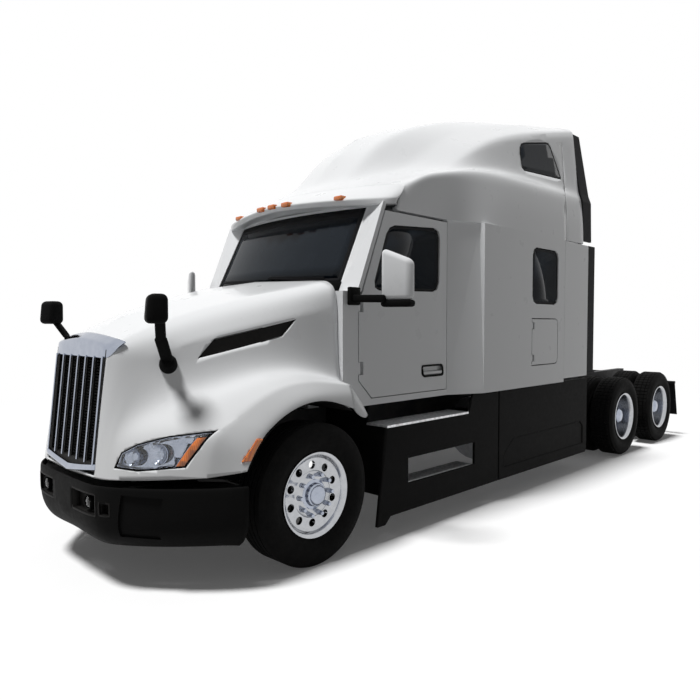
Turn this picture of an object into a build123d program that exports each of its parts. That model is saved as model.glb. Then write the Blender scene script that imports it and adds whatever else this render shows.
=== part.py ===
"""Bonneted highway tractor unit with an integrated high-roof sleeper.

Millimetres, +X forward, +Y to the driver's side, +Z up.  The origin is the
bottom centre of the overall box.  Each subcomponent is written to parts/.
"""
import math
import os
from build123d import *

# Layout along the vehicle
WHEELBASE = 6000          # front axle to the middle of the tandem
TANDEM_SPREAD = 1320      # first to second drive axle
FRONT_OVERHANG = 1290     # front axle to the bumper's nose
REAR_OVERHANG = 1420      # middle of the tandem to the mud flaps' rear
FRONT_AXLE_X = (WHEELBASE + REAR_OVERHANG - FRONT_OVERHANG) / 2

# Wheels and tyres
TYRE_R = 500
TYRE_BORE_R = 290
BEAD_R = 303
BULGE_R = 405
SHOULDER = 22             # tread edge in from the widest part
FRONT_TYRE_W = 290
FRONT_TYRE_Y = 1005
REAR_TYRE_W = 275
REAR_OUTER_Y = 1082
DUAL_SPACING = 343
RIM_WALL = 28
BEAD_HALF_W = 116
FLANGE_R = 301
FLANGE_HALF_W = 127
TYRE_SIDES = 28           # flats round a tyre and its rim
WHEEL_SIDES = 20          # flats round a hub or dish
HAND_HOLE_R = 30
HAND_HOLE_CIRCLE_R = 205
HAND_HOLES = 10
FRONT_SPINDLE_R = 40
REAR_SPINDLE_R = 45

# Fits
SEAT_GAP = 0.5            # between a pane, lens or insert and its opening
PIN_GAP = 0.3             # between a pin and its bore
SHUT_GAP = 10             # round a door or hatch
HINGE_INSET = 10          # hinge axis in from the two faces at its corner

# Frame
RAIL_Y = 432
RAIL_W = 90
RAIL_H = 270
RAIL_T = 8
RAIL_TOP = 985
RAIL_BOTTOM = RAIL_TOP - RAIL_H

# Front axle and steering
KINGPIN_Y = 850
KINGPIN_R = 22
BEAM_Z = (400, 490)
STEER_ARM = 250
BALL_PIN_R = 12
TIE_ROD_R = 18
TIE_ROD_Z = 412

# Fifth wheel coupling
FIFTH_WHEEL_X = 250 - WHEELBASE     # ahead of the middle of the tandem
FIFTH_WHEEL_TOP = 1200
FIFTH_WHEEL_T = 40
FIFTH_WHEEL_HALF_W = 475
KINGPIN_LOCK_R = 25.45
COUPLING_PIN_R = 22
COUPLING_PIN_Z = 1100

# Cab and sleeper
CAB_HALF_W = 1040
SLEEPER_FLARE = 160       # sleeper wider than the cab on each side
SLEEPER_HALF_W = CAB_HALF_W + SLEEPER_FLARE
WALL = 65
FLOOR_Z = (1060, 1110)
COWL_X = -345
COWL_TOP = 1935
HEADER_Z = 2655
SEAM_Z = 2605
FLARE_X = (-1647, -2000)
SLEEPER_END_X = -3600
EXTENDER_LENGTH = 590
EXTENDER_END_X = SLEEPER_END_X - EXTENDER_LENGTH
HINGE_PIN_R = 5

# Hood
HOOD_REAR_X = -335
HOOD_SKIN = 25
HOOD_AXIS = (1190, 715)
ARCH_R = 670
GRILLE_HALF_W = 400
GRILLE_Z = (745, 1525)

# Bumper
BUMPER_Z = (275, 430, 680)


def ax(offset):
    """X of a place measured forward from the front axle."""
    return FRONT_AXLE_X + offset


def box(x, y, z):
    """Box from three (low, high) pairs, X measured from the front axle."""
    size = (abs(x[1] - x[0]), abs(y[1] - y[0]), abs(z[1] - z[0]))
    return Pos(ax(sum(x) / 2), sum(y) / 2, sum(z) / 2) * Box(*size)


def rod(start, end, radius):
    """Cylinder between two points, X measured from the front axle."""
    a = Vector(ax(start[0]), start[1], start[2])
    b = Vector(ax(end[0]), end[1], end[2])
    plane = Plane(origin=a, z_dir=b - a)
    return Solid.make_cylinder(radius, (b - a).length, plane)


def bar(start, end, radius, sides=16):
    """Rod with flat sides between two points, X measured from the front axle."""
    a = Vector(ax(start[0]), start[1], start[2])
    b = Vector(ax(end[0]), end[1], end[2])
    plane = Plane(origin=a, z_dir=b - a)
    return extrude(plane * RegularPolygon(radius, sides), amount=(b - a).length)


def polygon(points):
    """Closed flat face through points, X measured from the front axle."""
    return Face(Wire.make_polygon([(ax(x), y, z) for x, y, z in points], close=True))


def side_prism(points, y):
    """Outline in side view, (x, z), carried between two y values."""
    face = polygon([(x, y[0], z) for x, z in points])
    return extrude(face, amount=y[1] - y[0], dir=(0, 1, 0))


def plan_prism(points, z):
    """Outline in plan, (x, y), carried between two heights."""
    face = polygon([(x, y, z[0]) for x, y in points])
    return extrude(face, amount=z[1] - z[0], dir=(0, 0, 1))


def front_prism(points, x):
    """Outline in front view, (y, z), carried between two x values."""
    face = polygon([(x[0], y, z) for y, z in points])
    return extrude(face, amount=x[1] - x[0], dir=(1, 0, 0))


def flip(shape):
    """Copy on the other side of the vehicle."""
    return mirror(shape, about=Plane.XZ)


def pair(shape):
    """The shape and its copy on the other side."""
    return [shape, flip(shape)]


def fuse(shapes):
    """One shape from several."""
    first, *rest = shapes
    return first.fuse(*rest) if rest else first


def shrink(points, gap):
    """Convex outline drawn in towards its middle by about the gap."""
    mid_a = sum(a for a, b in points) / len(points)
    mid_b = sum(b for a, b in points) / len(points)
    reach_a = max(abs(a - mid_a) for a, b in points)
    reach_b = max(abs(b - mid_b) for a, b in points)
    scale_a = 1 - gap / reach_a
    scale_b = 1 - gap / reach_b
    return [(mid_a + (a - mid_a) * scale_a, mid_b + (b - mid_b) * scale_b) for a, b in points]


def soften(points, cut, corners=None):
    """Outline with its corners, or only those listed, rounded by two flats that start at the cut."""
    out = []
    for i, (a, b) in enumerate(points):
        if corners and i not in corners:
            out.append((a, b))
            continue
        ends = []
        for c, d in (points[i - 1], points[(i + 1) % len(points)]):
            share = cut / math.hypot(c - a, d - b)
            ends.append((a + (c - a) * share, b + (d - b) * share))
        mid_a = (ends[0][0] + ends[1][0]) / 2
        mid_b = (ends[0][1] + ends[1][1]) / 2
        out += [ends[0], (mid_a + (a - mid_a) * 0.41, mid_b + (b - mid_b) * 0.41), ends[1]]
    return out


def frame_of(x, z):
    """Corners of a rectangle in side view."""
    return [(x[0], z[0]), (x[1], z[0]), (x[1], z[1]), (x[0], z[1])]


def skin(rings):
    """Solid with flat faces through closed outlines that have as many points each."""
    faces = [Face(Wire.make_polygon(end, close=True)) for end in (rings[0], rings[-1])]
    for near, far in zip(rings, rings[1:]):
        for i in range(len(near)):
            j = (i + 1) % len(near)
            a, b, c, d = (Vector(*spot) for spot in (near[i], near[j], far[j], far[i]))
            bend = abs((b - a).cross(c - a).dot(d - a))
            if bend < 1:
                flats = [(a, b, c, d)]
            elif (c - a).length < (d - b).length:
                flats = [(a, b, c), (a, c, d)]
            else:
                flats = [(a, b, d), (b, c, d)]
            faces += [Face(Wire.make_polygon(flat, close=True)) for flat in flats]
    return Solid(Shell(faces)).fix()


def ring(radius, y, x, sides):
    """Many-sided outline about an axle, with a flat at the bottom."""
    reach = radius / math.cos(math.pi / sides)
    points = []
    for i in range(sides):
        turn = 2 * math.pi * (i + 0.5) / sides
        points.append((ax(x) + reach * math.sin(turn), y, TYRE_R - reach * math.cos(turn)))
    return points


def turned(rows, x, sides=WHEEL_SIDES):
    """Solid about an axle through rows of (y, radius)."""
    return skin([ring(radius, y, x, sides) for y, radius in rows])


def mirrored(half):
    """Half outline of (y, z) that ends at the middle, and its other half."""
    return half + [(-y, z) for y, z in reversed(half) if y > 0]


nodes = {}


def keep(name, shapes):
    """Put the solids of one node on the list to write."""
    solids = [s for shape in shapes for s in shape.solids()]
    nodes[name] = solids


# Frame
def rail():
    inner = RAIL_Y - RAIL_W
    web = RAIL_Y - RAIL_T
    low, high = RAIL_BOTTOM, RAIL_TOP
    outline = [(RAIL_Y, high), (RAIL_Y, low), (inner, low), (inner, low + RAIL_T),
               (web, low + RAIL_T), (web, high - RAIL_T), (inner, high - RAIL_T), (inner, high)]
    return front_prism(outline, (FRAME_X[1], FRAME_X[0]))


FRAME_X = (1000, -WHEELBASE - 1330)
CROSSMEMBERS = (
    # x of the front face, bottom, top
    (980, 690, 940),
    (-2300, 860, 960),
    (-4200, 860, 960),
    (10 - WHEELBASE, 860, 960),
    (FRAME_X[1] + 80, 760, 940),
)
frame = pair(rail())
for x, low, high in CROSSMEMBERS:
    frame.append(box((x - 45, x), (-RAIL_Y + RAIL_T, RAIL_Y - RAIL_T), (low, high)))
HINGE_ARM_Y = (300, 340)
HINGE_LUG_Y = (346, 386)
axis_x, axis_z = HOOD_AXIS
arm = box((950, axis_x), HINGE_ARM_Y, (axis_z - 20, axis_z + 20))
arm += bar((axis_x, HINGE_ARM_Y[0], axis_z), (axis_x, HINGE_ARM_Y[1], axis_z), 20)
arm += rod((axis_x, HINGE_ARM_Y[0], axis_z), (axis_x, HINGE_LUG_Y[1], axis_z), 12)
frame += pair(arm)
keep("chassis_frame", [fuse(frame)])

# Engine, gearbox and radiator as plain blocks
engine = [
    box((-300, 720), (-330, 330), (620, 1150)),
    box((-290, 700), (-250, 250), (1150, 1570)),
    box((-1900, -300), (-230, 230), (640, 1000)),
    box((200, 400), (-425, 425), (RAIL_TOP, RAIL_TOP + 35)),
]
keep("engine", [fuse(engine)])
keep("radiator", [fuse([
    box((800, 920), (-335, 335), (730, RAIL_TOP)),
    box((800, 920), (-430, 430), (RAIL_TOP, 1420)),
])])

# Front axle, knuckles and tie rod
BEAM_DROP = 60
low, high = BEAM_Z
beam_top = [(KINGPIN_Y, high), (360, high), (280, high - BEAM_DROP)]
beam_foot = [(300, low - BEAM_DROP), (400, low), (KINGPIN_Y, low)]
beam_half = beam_foot + beam_top
beam = front_prism(beam_half + [(-y, z) for y, z in reversed(beam_half)], (-50, 50))
for side in (1, -1):
    y = side * KINGPIN_Y
    beam += bar((0, y, 395), (0, y, 605), 48)
    beam += rod((0, y, 345), (0, y, 655), KINGPIN_R)
keep("front_axle", [beam])

KNUCKLE_ARM_Z = ((350, 390), (610, 650))


def knuckle():
    body = box((-50, 50), (910, 960), (KNUCKLE_ARM_Z[0][0], KNUCKLE_ARM_Z[1][1]))
    for z in KNUCKLE_ARM_Z:
        body += box((-50, 50), (800, 915), z)
    body += rod((0, 955, TYRE_R), (0, 1100, TYRE_R), FRONT_SPINDLE_R)
    body += box((-STEER_ARM - 30, -40), (KINGPIN_Y - 20, KINGPIN_Y + 20), (354, 386))
    pin_top = TIE_ROD_Z + 24
    body += rod((-STEER_ARM, KINGPIN_Y, 370), (-STEER_ARM, KINGPIN_Y, pin_top), BALL_PIN_R)
    body -= rod((0, KINGPIN_Y, 300), (0, KINGPIN_Y, 700), KINGPIN_R + PIN_GAP)
    return body


keep("knuckle_left", [knuckle()])
keep("knuckle_right", [flip(knuckle())])

tie = bar((-STEER_ARM, -KINGPIN_Y, TIE_ROD_Z), (-STEER_ARM, KINGPIN_Y, TIE_ROD_Z), TIE_ROD_R, 12)
for side in (1, -1):
    y = side * KINGPIN_Y
    tie += bar((-STEER_ARM, y, TIE_ROD_Z - 20), (-STEER_ARM, y, TIE_ROD_Z + 20), 30)
for side in (1, -1):
    y = side * KINGPIN_Y
    tie -= rod((-STEER_ARM, y, 300), (-STEER_ARM, y, 500), BALL_PIN_R + PIN_GAP)
keep("tie_rod", [tie])

# Drive axles with their shafts
AXLE_X = (-WHEELBASE + TANDEM_SPREAD / 2, -WHEELBASE - TANDEM_SPREAD / 2)
GEARBOX_X = -1900
axles = []
for x in AXLE_X:
    axles.append(bar((x, -690, TYRE_R), (x, 690, TYRE_R), 75))
    axles.append(rod((x, -1130, TYRE_R), (x, 1130, TYRE_R), REAR_SPINDLE_R))
    axles.append(bar((x - 120, 0, TYRE_R), (x + 190, 0, TYRE_R), 190))
axles.append(bar((GEARBOX_X, 0, 780), (AXLE_X[0] + 150, 0, 560), 50))
axles.append(bar((AXLE_X[0] - 60, 0, 540), (AXLE_X[1] + 150, 0, 530), 45))
shafts = fuse(axles) - box((GEARBOX_X, 0), (-200, 200), (600, 900))
keep("drive_axles", [shafts])

# Springs, arms and air bags
LEAF_Y = (395, 465)
LEAF = [(-720, RAIL_BOTTOM), (-720, 640), (-60, BEAM_Z[1]), (60, BEAM_Z[1]), (720, 640),
        (720, RAIL_BOTTOM), (640, RAIL_BOTTOM), (600, 680), (0, 560), (-600, 680),
        (-640, RAIL_BOTTOM)]
springs = pair(side_prism(LEAF, LEAF_Y))
TUBE_BOTTOM = TYRE_R - 75
for x in AXLE_X:
    hanger = box((x + 440, x + 540), LEAF_Y, (340, RAIL_BOTTOM))
    hanger += box((x - 390, x + 480), LEAF_Y, (340, TUBE_BOTTOM))
    hanger += bar((x - 285, 430, TUBE_BOTTOM - 10), (x - 285, 430, RAIL_BOTTOM), 105)
    springs += pair(hanger)
keep("suspension", springs)


# Wheels
def tyre(mid_y, width, x):
    half = width / 2
    side = [(half - SHOULDER, TYRE_R), (half, BULGE_R), (BEAD_HALF_W, BEAD_R)]
    rows = [(-y, radius) for y, radius in reversed(side)] + side
    body = turned([(mid_y + y, radius) for y, radius in rows], x, TYRE_SIDES)
    bore_r = TYRE_BORE_R + SEAT_GAP
    return body - turned([(mid_y - half, bore_r), (mid_y + half, bore_r)], x, TYRE_SIDES)


def hand_holes(x, y):
    holes = []
    for i in range(HAND_HOLES):
        arm = Vector(0, 0, HAND_HOLE_CIRCLE_R).rotate(Axis.Y, 360 * i / HAND_HOLES)
        spot = (x + arm.X, y[0], TYRE_R + arm.Z)
        holes.append(bar(spot, (spot[0], y[1], spot[2]), HAND_HOLE_R, 8))
    return fuse(holes)


def rim(x, inside, disc, outside):
    """Barrel with an outer flange and a disc between two y values."""
    seat = outside - (FLANGE_HALF_W - BEAD_HALF_W - SEAT_GAP)
    hollow = TYRE_BORE_R - RIM_WALL
    barrel = turned([(inside, TYRE_BORE_R), (outside, TYRE_BORE_R)], x, TYRE_SIDES)
    flange = turned([(seat, FLANGE_R), (outside, FLANGE_R)], x, TYRE_SIDES)
    dish = turned([(disc[1], hollow), (outside - 30, hollow), (outside + 1, hollow + 10)], x)
    back = turned([(inside - 1, hollow), (disc[0], hollow)], x)
    return fuse([barrel, flange]) - dish - back


def front_wheel():
    mid = FRONT_TYRE_Y
    disc = (mid + 48, mid + 74)
    shapes = [rim(0, mid - BEAD_HALF_W, disc, mid + FLANGE_HALF_W)]
    shapes.append(turned([(mid - 38, 130), (disc[0], 130)], 0))
    shapes.append(turned([(disc[1], 160), (mid + 94, 148)], 0))
    shapes.append(turned([(mid + 94, 92), (mid + 145, 86), (mid + 165, 62)], 0))
    bore = rod((0, mid - 60, TYRE_R), (0, mid + 100, TYRE_R), FRONT_SPINDLE_R + PIN_GAP)
    return fuse(shapes) - bore - hand_holes(0, (mid + 30, mid + 120))


def twin_wheel(x):
    middle = REAR_OUTER_Y - DUAL_SPACING / 2
    reach = DUAL_SPACING / 2 + FLANGE_HALF_W
    disc = (middle - 20, middle + 20)
    shapes = [rim(x, middle - reach, disc, middle + reach)]
    shapes.append(turned([(middle - 210, 130), (disc[0], 130)], x))
    shapes.append(turned([(disc[1], 160), (middle + 78, 148)], x))
    shapes.append(turned([(middle + 78, 98), (middle + 235, 94), (middle + 258, 68)], x))
    bore = rod((x, middle - 230, TYRE_R), (x, 1135, TYRE_R), REAR_SPINDLE_R + PIN_GAP)
    return fuse(shapes) - bore - hand_holes(x, (middle - 60, middle + 60))


front_tyre = tyre(FRONT_TYRE_Y, FRONT_TYRE_W, 0)
for name, turn in (("left", False), ("right", True)):
    shapes = front_tyre, front_wheel()
    keep("front_tyre_" + name, [flip(shapes[0]) if turn else shapes[0]])
    keep("front_wheel_" + name, [flip(shapes[1]) if turn else shapes[1]])
for number, x in enumerate(AXLE_X, start=1):
    outer = tyre(REAR_OUTER_Y, REAR_TYRE_W, x)
    inner_tyre = tyre(REAR_OUTER_Y - DUAL_SPACING, REAR_TYRE_W, x)
    wheel = twin_wheel(x)
    keep(f"drive{number}_tyres_left", [outer, inner_tyre])
    keep(f"drive{number}_wheel_left", [wheel])
    keep(f"drive{number}_tyres_right", [flip(outer), flip(inner_tyre)])
    keep(f"drive{number}_wheel_right", [flip(wheel)])

# Fuel tanks
FAIRING_Y = (SLEEPER_HALF_W - 70, SLEEPER_HALF_W - 45)
TANK_R = (FAIRING_Y[0] - RAIL_Y - 58) / 2
TANK_Y = RAIL_Y + 43 + TANK_R
TANK_Z = 640
TANK_TYRE_GAP = 690
TANK_X = (AXLE_X[0] + TYRE_R + TANK_TYRE_GAP, -2450)
tank = bar((TANK_X[0], TANK_Y, TANK_Z), (TANK_X[1], TANK_Y, TANK_Z), TANK_R, 24)
for x in (TANK_X[0] + 220, TANK_X[1] - 220):
    tank += box((x - 30, x + 30), (RAIL_Y, TANK_Y - 95), (730, 790))
keep("fuel_tanks", pair(tank))

# Side fairings and steps
FAIRING_SPLIT = -2342
FAIRING_END_X = TANK_X[0] - 160
FAIRING_TOP = 1060
STEP_TOP = 885
POCKET_X = (-1930, -975)
POCKET_Z = (412, 610)
STAY_Z = (740, 800)
front_outline = [(-600, 130), (-640, 420), (-690, 700), (-712, STEP_TOP), (-1835, STEP_TOP),
                 (-1900, FAIRING_TOP), (FAIRING_SPLIT + 6, FAIRING_TOP), (FAIRING_SPLIT + 6, 185),
                 (-760, 185), (-700, 130)]
rear_outline = [(FAIRING_SPLIT - 6, 185), (FAIRING_SPLIT - 6, FAIRING_TOP), (FAIRING_END_X + 20, FAIRING_TOP),
                (FAIRING_END_X, FAIRING_TOP - 30), (FAIRING_END_X, 215), (FAIRING_END_X + 30, 180)]
panel = side_prism(front_outline, FAIRING_Y) - box(POCKET_X, (FAIRING_Y[0] - 1, FAIRING_Y[1] + 1), POCKET_Z)
for x in (-850, -2290):
    panel += box((x, x + 50), (RAIL_Y, FAIRING_Y[0]), STAY_Z)
rear_panel = side_prism(rear_outline, FAIRING_Y)
swage_x = FAIRING_END_X + 110
SWAGE = [(-2440, 300), (-2440, 420), (-2620, 560), (swage_x + 70, 560), (swage_x, 500), (swage_x, 300)]
rear_panel -= side_prism(SWAGE, (FAIRING_Y[1] - 9, FAIRING_Y[1] + 1))
for x in (-2430, FAIRING_END_X + 40):
    rear_panel += box((x, x + 50), (RAIL_Y, FAIRING_Y[0]), STAY_Z)
keep("side_fairings", pair(panel) + pair(rear_panel))
TREAD_D = 225
lower_y = (FAIRING_Y[0] - 170, FAIRING_Y[0])
upper_y = (FAIRING_Y[1] - TREAD_D, FAIRING_Y[1])
lower_tread = box((POCKET_X[0] + 5, POCKET_X[1] - 5), lower_y, (POCKET_Z[0] - 17, POCKET_Z[0]))
upper_tread = box((-1830, -718), upper_y, (STEP_TOP, STEP_TOP + 18))
keep("step_treads", pair(lower_tread) + pair(upper_tread))

# Splash panels behind the front wheels
SPLASH_X = (-765, -745)
splash = box(SPLASH_X, (RAIL_Y, FAIRING_Y[0]), (330, STEP_TOP - 5))
splash += box(SPLASH_X, (RAIL_Y, upper_y[0] - 10), (STEP_TOP - 5, FLOOR_Z[0] - 10))

# Fifth wheel coupling
LUG_Y = (250, 315)
PEDESTAL_Y = (330, 385)
base = box((FIFTH_WHEEL_X - 450, FIFTH_WHEEL_X + 450), (-RAIL_Y, RAIL_Y), (RAIL_TOP, RAIL_TOP + 18))
for side in (1, -1):
    y0, y1 = sorted((side * PEDESTAL_Y[0], side * PEDESTAL_Y[1]))
    base += box((FIFTH_WHEEL_X - 70, FIFTH_WHEEL_X + 70), (y0, y1), (RAIL_TOP, COUPLING_PIN_Z + 25))
    start = (FIFTH_WHEEL_X, side * (LUG_Y[0] - 10), COUPLING_PIN_Z)
    base += rod(start, (FIFTH_WHEEL_X, side * PEDESTAL_Y[1], COUPLING_PIN_Z), COUPLING_PIN_R)
keep("fifth_wheel_base", [base])

half_w = FIFTH_WHEEL_HALF_W
plate_outline = [(380, -250), (380, 250), (120, half_w), (-300, half_w), (-480, 330), (-480, 190),
                 (-130, 45), (-130, -45), (-480, -190), (-480, -330), (-300, -half_w), (120, -half_w)]
plate_z = (FIFTH_WHEEL_TOP - FIFTH_WHEEL_T, FIFTH_WHEEL_TOP)
plate = plan_prism([(FIFTH_WHEEL_X + x, y) for x, y in plate_outline], plate_z)
for side in (1, -1):
    y0, y1 = sorted((side * LUG_Y[0], side * LUG_Y[1]))
    plate += box((FIFTH_WHEEL_X - 50, FIFTH_WHEEL_X + 50), (y0, y1), (COUPLING_PIN_Z - 45, plate_z[1]))
ramp = [(-300, FIFTH_WHEEL_TOP), (-500, FIFTH_WHEEL_TOP - 28), (-500, FIFTH_WHEEL_TOP + 1)]
plate -= side_prism([(FIFTH_WHEEL_X + x, z) for x, z in ramp], (-half_w - 1, half_w + 1))
hole_low = (FIFTH_WHEEL_X, -400, COUPLING_PIN_Z)
plate -= rod(hole_low, (FIFTH_WHEEL_X, 400, COUPLING_PIN_Z), COUPLING_PIN_R + PIN_GAP)
plate -= rod((FIFTH_WHEEL_X, 0, 1000), (FIFTH_WHEEL_X, 0, 1300), KINGPIN_LOCK_R)
keep("fifth_wheel_plate", [plate])

# Mud flaps and deck
FLAP_X = -WHEELBASE - REAR_OVERHANG
FLAP_Y = (REAR_OUTER_Y - DUAL_SPACING - REAR_TYRE_W / 2 + 18, REAR_OUTER_Y + REAR_TYRE_W / 2 - 4)
flap = side_prism([(FLAP_X + 130, 800), (FLAP_X + 142, 800), (FLAP_X + 12, 310), (FLAP_X, 310)], FLAP_Y)
flap += box((FLAP_X + 110, FLAP_X + 160), (RAIL_Y, FLAP_Y[1]), (790, 830))
keep("mud_flaps", pair(flap))
DECK_X = (FIFTH_WHEEL_X + 600, FIFTH_WHEEL_X + 1100)
keep("deck_plate", [box(DECK_X, (-RAIL_Y, RAIL_Y), (RAIL_TOP, RAIL_TOP + 15))])

# Bumper
BUMPER_PLAN = ((600, 1165), (720, 1112), (880, 985), (1040, 830), (1150, 690), (1215, 590), (1262, 500),
               (1284, 400), (1290, 250), (1290, 0))
BUMPER_WALL = 28
BUMPER_EDGE = 12
SHELF_X = 760             # rear edge of the cover on the bumper's arms
ARM_TOP = 635


def bumper_ring(z, inset):
    """Plan of the bumper at one height, drawn in but for its open rear."""
    rear = BUMPER_PLAN[0][0]
    half = []
    for x, y in BUMPER_PLAN:
        slant = min(1, y / 740)
        half.append((x if x == rear else x - inset * (1.15 - 0.45 * slant), max(0, y - inset * slant)))
    points = half + [(x, -y) for x, y in reversed(half) if y > 0]
    return [(ax(x), y, z) for x, y in points]


def bumper_block(inset, edge=0, reach=0):
    low, middle, high = BUMPER_Z
    rows = ((low - reach, 110), (low + 60, 42), (middle, 0), (high - 20, 0), (high + reach, edge))
    return skin([bumper_ring(z, inset + draw) for z, draw in rows])


BUMPER_POCKETS = (
    # outline in front view (y, z): lamp recess, tow hole, corner panel
    [(170, 490), (460, 490), (460, 615), (170, 615)],
    [(500, 500), (565, 500), (565, 570), (500, 570)],
    [(600, 365), (800, 352), (850, 620), (640, 635)],
)
outer = bumper_block(0, BUMPER_EDGE)
inside = bumper_block(BUMPER_WALL, 0, 1)
bumper = outer - inside - box((595, 601), (-1080, 1080), BUMPER_Z[::2])
pocket_skin = outer - bumper_block(18)
for outline in BUMPER_POCKETS:
    pocket = pocket_skin & front_prism(outline, (620, 1300))
    bumper = bumper - pocket - flip(pocket)
for side in (1, -1):
    y0, y1 = sorted((side * 350, side * 425))
    bumper += box((985, 1030), (y0, y1), (560, RAIL_BOTTOM))
    bumper += box((1000, BUMPER_PLAN[-1][0] - 25), (y0, y1), (560, ARM_TOP))
keep("front_bumper", [bumper])
shelf = bumper_block(BUMPER_WALL + 2) & box((SHELF_X, 1300), (-1200, 1200), (ARM_TOP, ARM_TOP + 10))
slot = box((980, 1035), (345, 430), (600, RAIL_BOTTOM))
keep("splash_panels", pair(splash) + [shelf - slot - flip(slot)])

# Cab floor on its mounts
floor_outline = [(COWL_X, CAB_HALF_W), (FLARE_X[0], CAB_HALF_W), (FLARE_X[1], SLEEPER_HALF_W),
                 (SLEEPER_END_X, SLEEPER_HALF_W)]
floor_outline += [(x, -y) for x, y in reversed(floor_outline)]
floor = plan_prism(floor_outline, FLOOR_Z)
for x in (-600, -3400):
    for side in (1, -1):
        y0, y1 = sorted((side * 345, side * 430))
        floor += box((x - 60, x + 60), (y0, y1), (RAIL_TOP, FLOOR_Z[1]))
keep("cab_floor", [floor])

# Cab front: bulkhead, cowl, pillars and header
DOOR_Y = (CAB_HALF_W - WALL, CAB_HALF_W)
DOOR_FRONT_X = -518
DOOR_REAR_X = -1640
DOOR_Z = (1117, 2585)
DOOR_KINK = (-665, 1262)
cheek_x = DOOR_FRONT_X + SHUT_GAP
cheek = side_prism([(COWL_X, FLOOR_Z[1]), (COWL_X, COWL_TOP), (cheek_x, COWL_TOP),
                    (cheek_x, DOOR_KINK[1] - 5), (DOOR_KINK[0] + 9, FLOOR_Z[1])], DOOR_Y)
front = [box((COWL_X - 60, COWL_X), (-CAB_HALF_W, CAB_HALF_W), (FLOOR_Z[1], COWL_TOP)),
         box((cheek_x, COWL_X), (-CAB_HALF_W, CAB_HALF_W), (COWL_TOP - 30, COWL_TOP))]
front += pair(cheek)


SCREEN_CORNER_Y = CAB_HALF_W - 184
SCREEN_FLATS = 10


def screen_ring(z, inset, rear_extra=0):
    """Plan of the screen and pillars at one height."""
    t = (z - COWL_TOP) / (HEADER_Z - COWL_TOP)

    def run(a, b):
        return a + (b - a) * t

    rear_x = run(-543, -836) - rear_extra
    side_x = run(-500, -795) - inset
    corner_x = run(-474, -833) - inset
    bow_x = run(-355, -712) - inset
    half = CAB_HALF_W - inset

    points = [(rear_x, half), (side_x, half)]
    for i in range(SCREEN_FLATS + 1):
        across = 1 - 2 * i / SCREEN_FLATS
        points.append((bow_x + (corner_x - bow_x) * across ** 2, across * SCREEN_CORNER_Y))
    points += [(side_x, -half), (rear_x, -half)]
    return [(ax(x), y, z) for x, y in points]


def screen_block(inset, extra, reach=0):
    return skin([screen_ring(COWL_TOP - reach, inset, extra), screen_ring(HEADER_Z + reach, inset, extra)])


foot, head = SCREEN_CORNER_Y - 6, SCREEN_CORNER_Y - 18
SCREEN_OUTLINE = [(-foot, 2012), (foot, 2012), (head, 2632), (-head, 2632)]
hollow = screen_block(60, 600, 5)
screen_cut = front_prism(SCREEN_OUTLINE, (-1100, -300))
front.append(screen_block(0, 0))
cab_front = fuse(front) - hollow - screen_cut
pane_area = front_prism(shrink(SCREEN_OUTLINE, SEAT_GAP), (-1100, -300))
screen = (screen_block(8, 0) - screen_block(34, 600, 5)) & pane_area

# Doors
door_outline = [(DOOR_FRONT_X, DOOR_KINK[1]), (DOOR_FRONT_X, COWL_TOP - 40), (-556, COWL_TOP - 12),
                (-820, DOOR_Z[1]), (DOOR_REAR_X, DOOR_Z[1]), (DOOR_REAR_X, DOOR_Z[0]),
                (DOOR_KINK[0], DOOR_Z[0])]
WINDOW_CORNER = 80
window_outline = soften([(-665, 1950), (-855, 2475), (-1540, 2522), (-1530, 1970)], WINDOW_CORNER)
HANDLE_X = (-1590, -1285)
HANDLE_Z = (1243, 1335)
HINGE_Z = ((1300, 1400), (1780, 1880))
HINGE_X = DOOR_FRONT_X - HINGE_INSET
HINGE_Y = CAB_HALF_W - HINGE_INSET
door = side_prism(door_outline, DOOR_Y) - side_prism(window_outline, DOOR_Y)
handle_outline = soften(frame_of(HANDLE_X, HANDLE_Z), 30)
door -= side_prism(handle_outline, (CAB_HALF_W - 22, CAB_HALF_W + 1))
for z in HINGE_Z:
    door -= box((HINGE_X - 40, DOOR_FRONT_X + 1), (HINGE_Y - 26, CAB_HALF_W + 1), z)
    door -= rod((HINGE_X, HINGE_Y, z[1] - 1), (HINGE_X, HINGE_Y, z[1] + 30), HINGE_PIN_R + PIN_GAP)
    lug = box((HINGE_X, cheek_x + 5), (HINGE_Y - 10, HINGE_Y + 10), (z[0] + 6, z[1] - 6))
    lug += bar((HINGE_X, HINGE_Y, z[0] + 6), (HINGE_X, HINGE_Y, z[1] - 6), 10, 12)
    lug += rod((HINGE_X, HINGE_Y, z[1] - 20), (HINGE_X, HINGE_Y, z[1] + 25), HINGE_PIN_R)
    cab_front = fuse([cab_front] + pair(lug))
keep("cab_front", [cab_front])
glass_y = (CAB_HALF_W - 40, CAB_HALF_W - 15)
door_glass = side_prism(shrink(window_outline, SEAT_GAP), glass_y)
for name, shapes in (("left", (door, door_glass)), ("right", (flip(door), flip(door_glass)))):
    keep("door_" + name, [shapes[0]])
    keep("door_glass_" + name, [shapes[1]])

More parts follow.
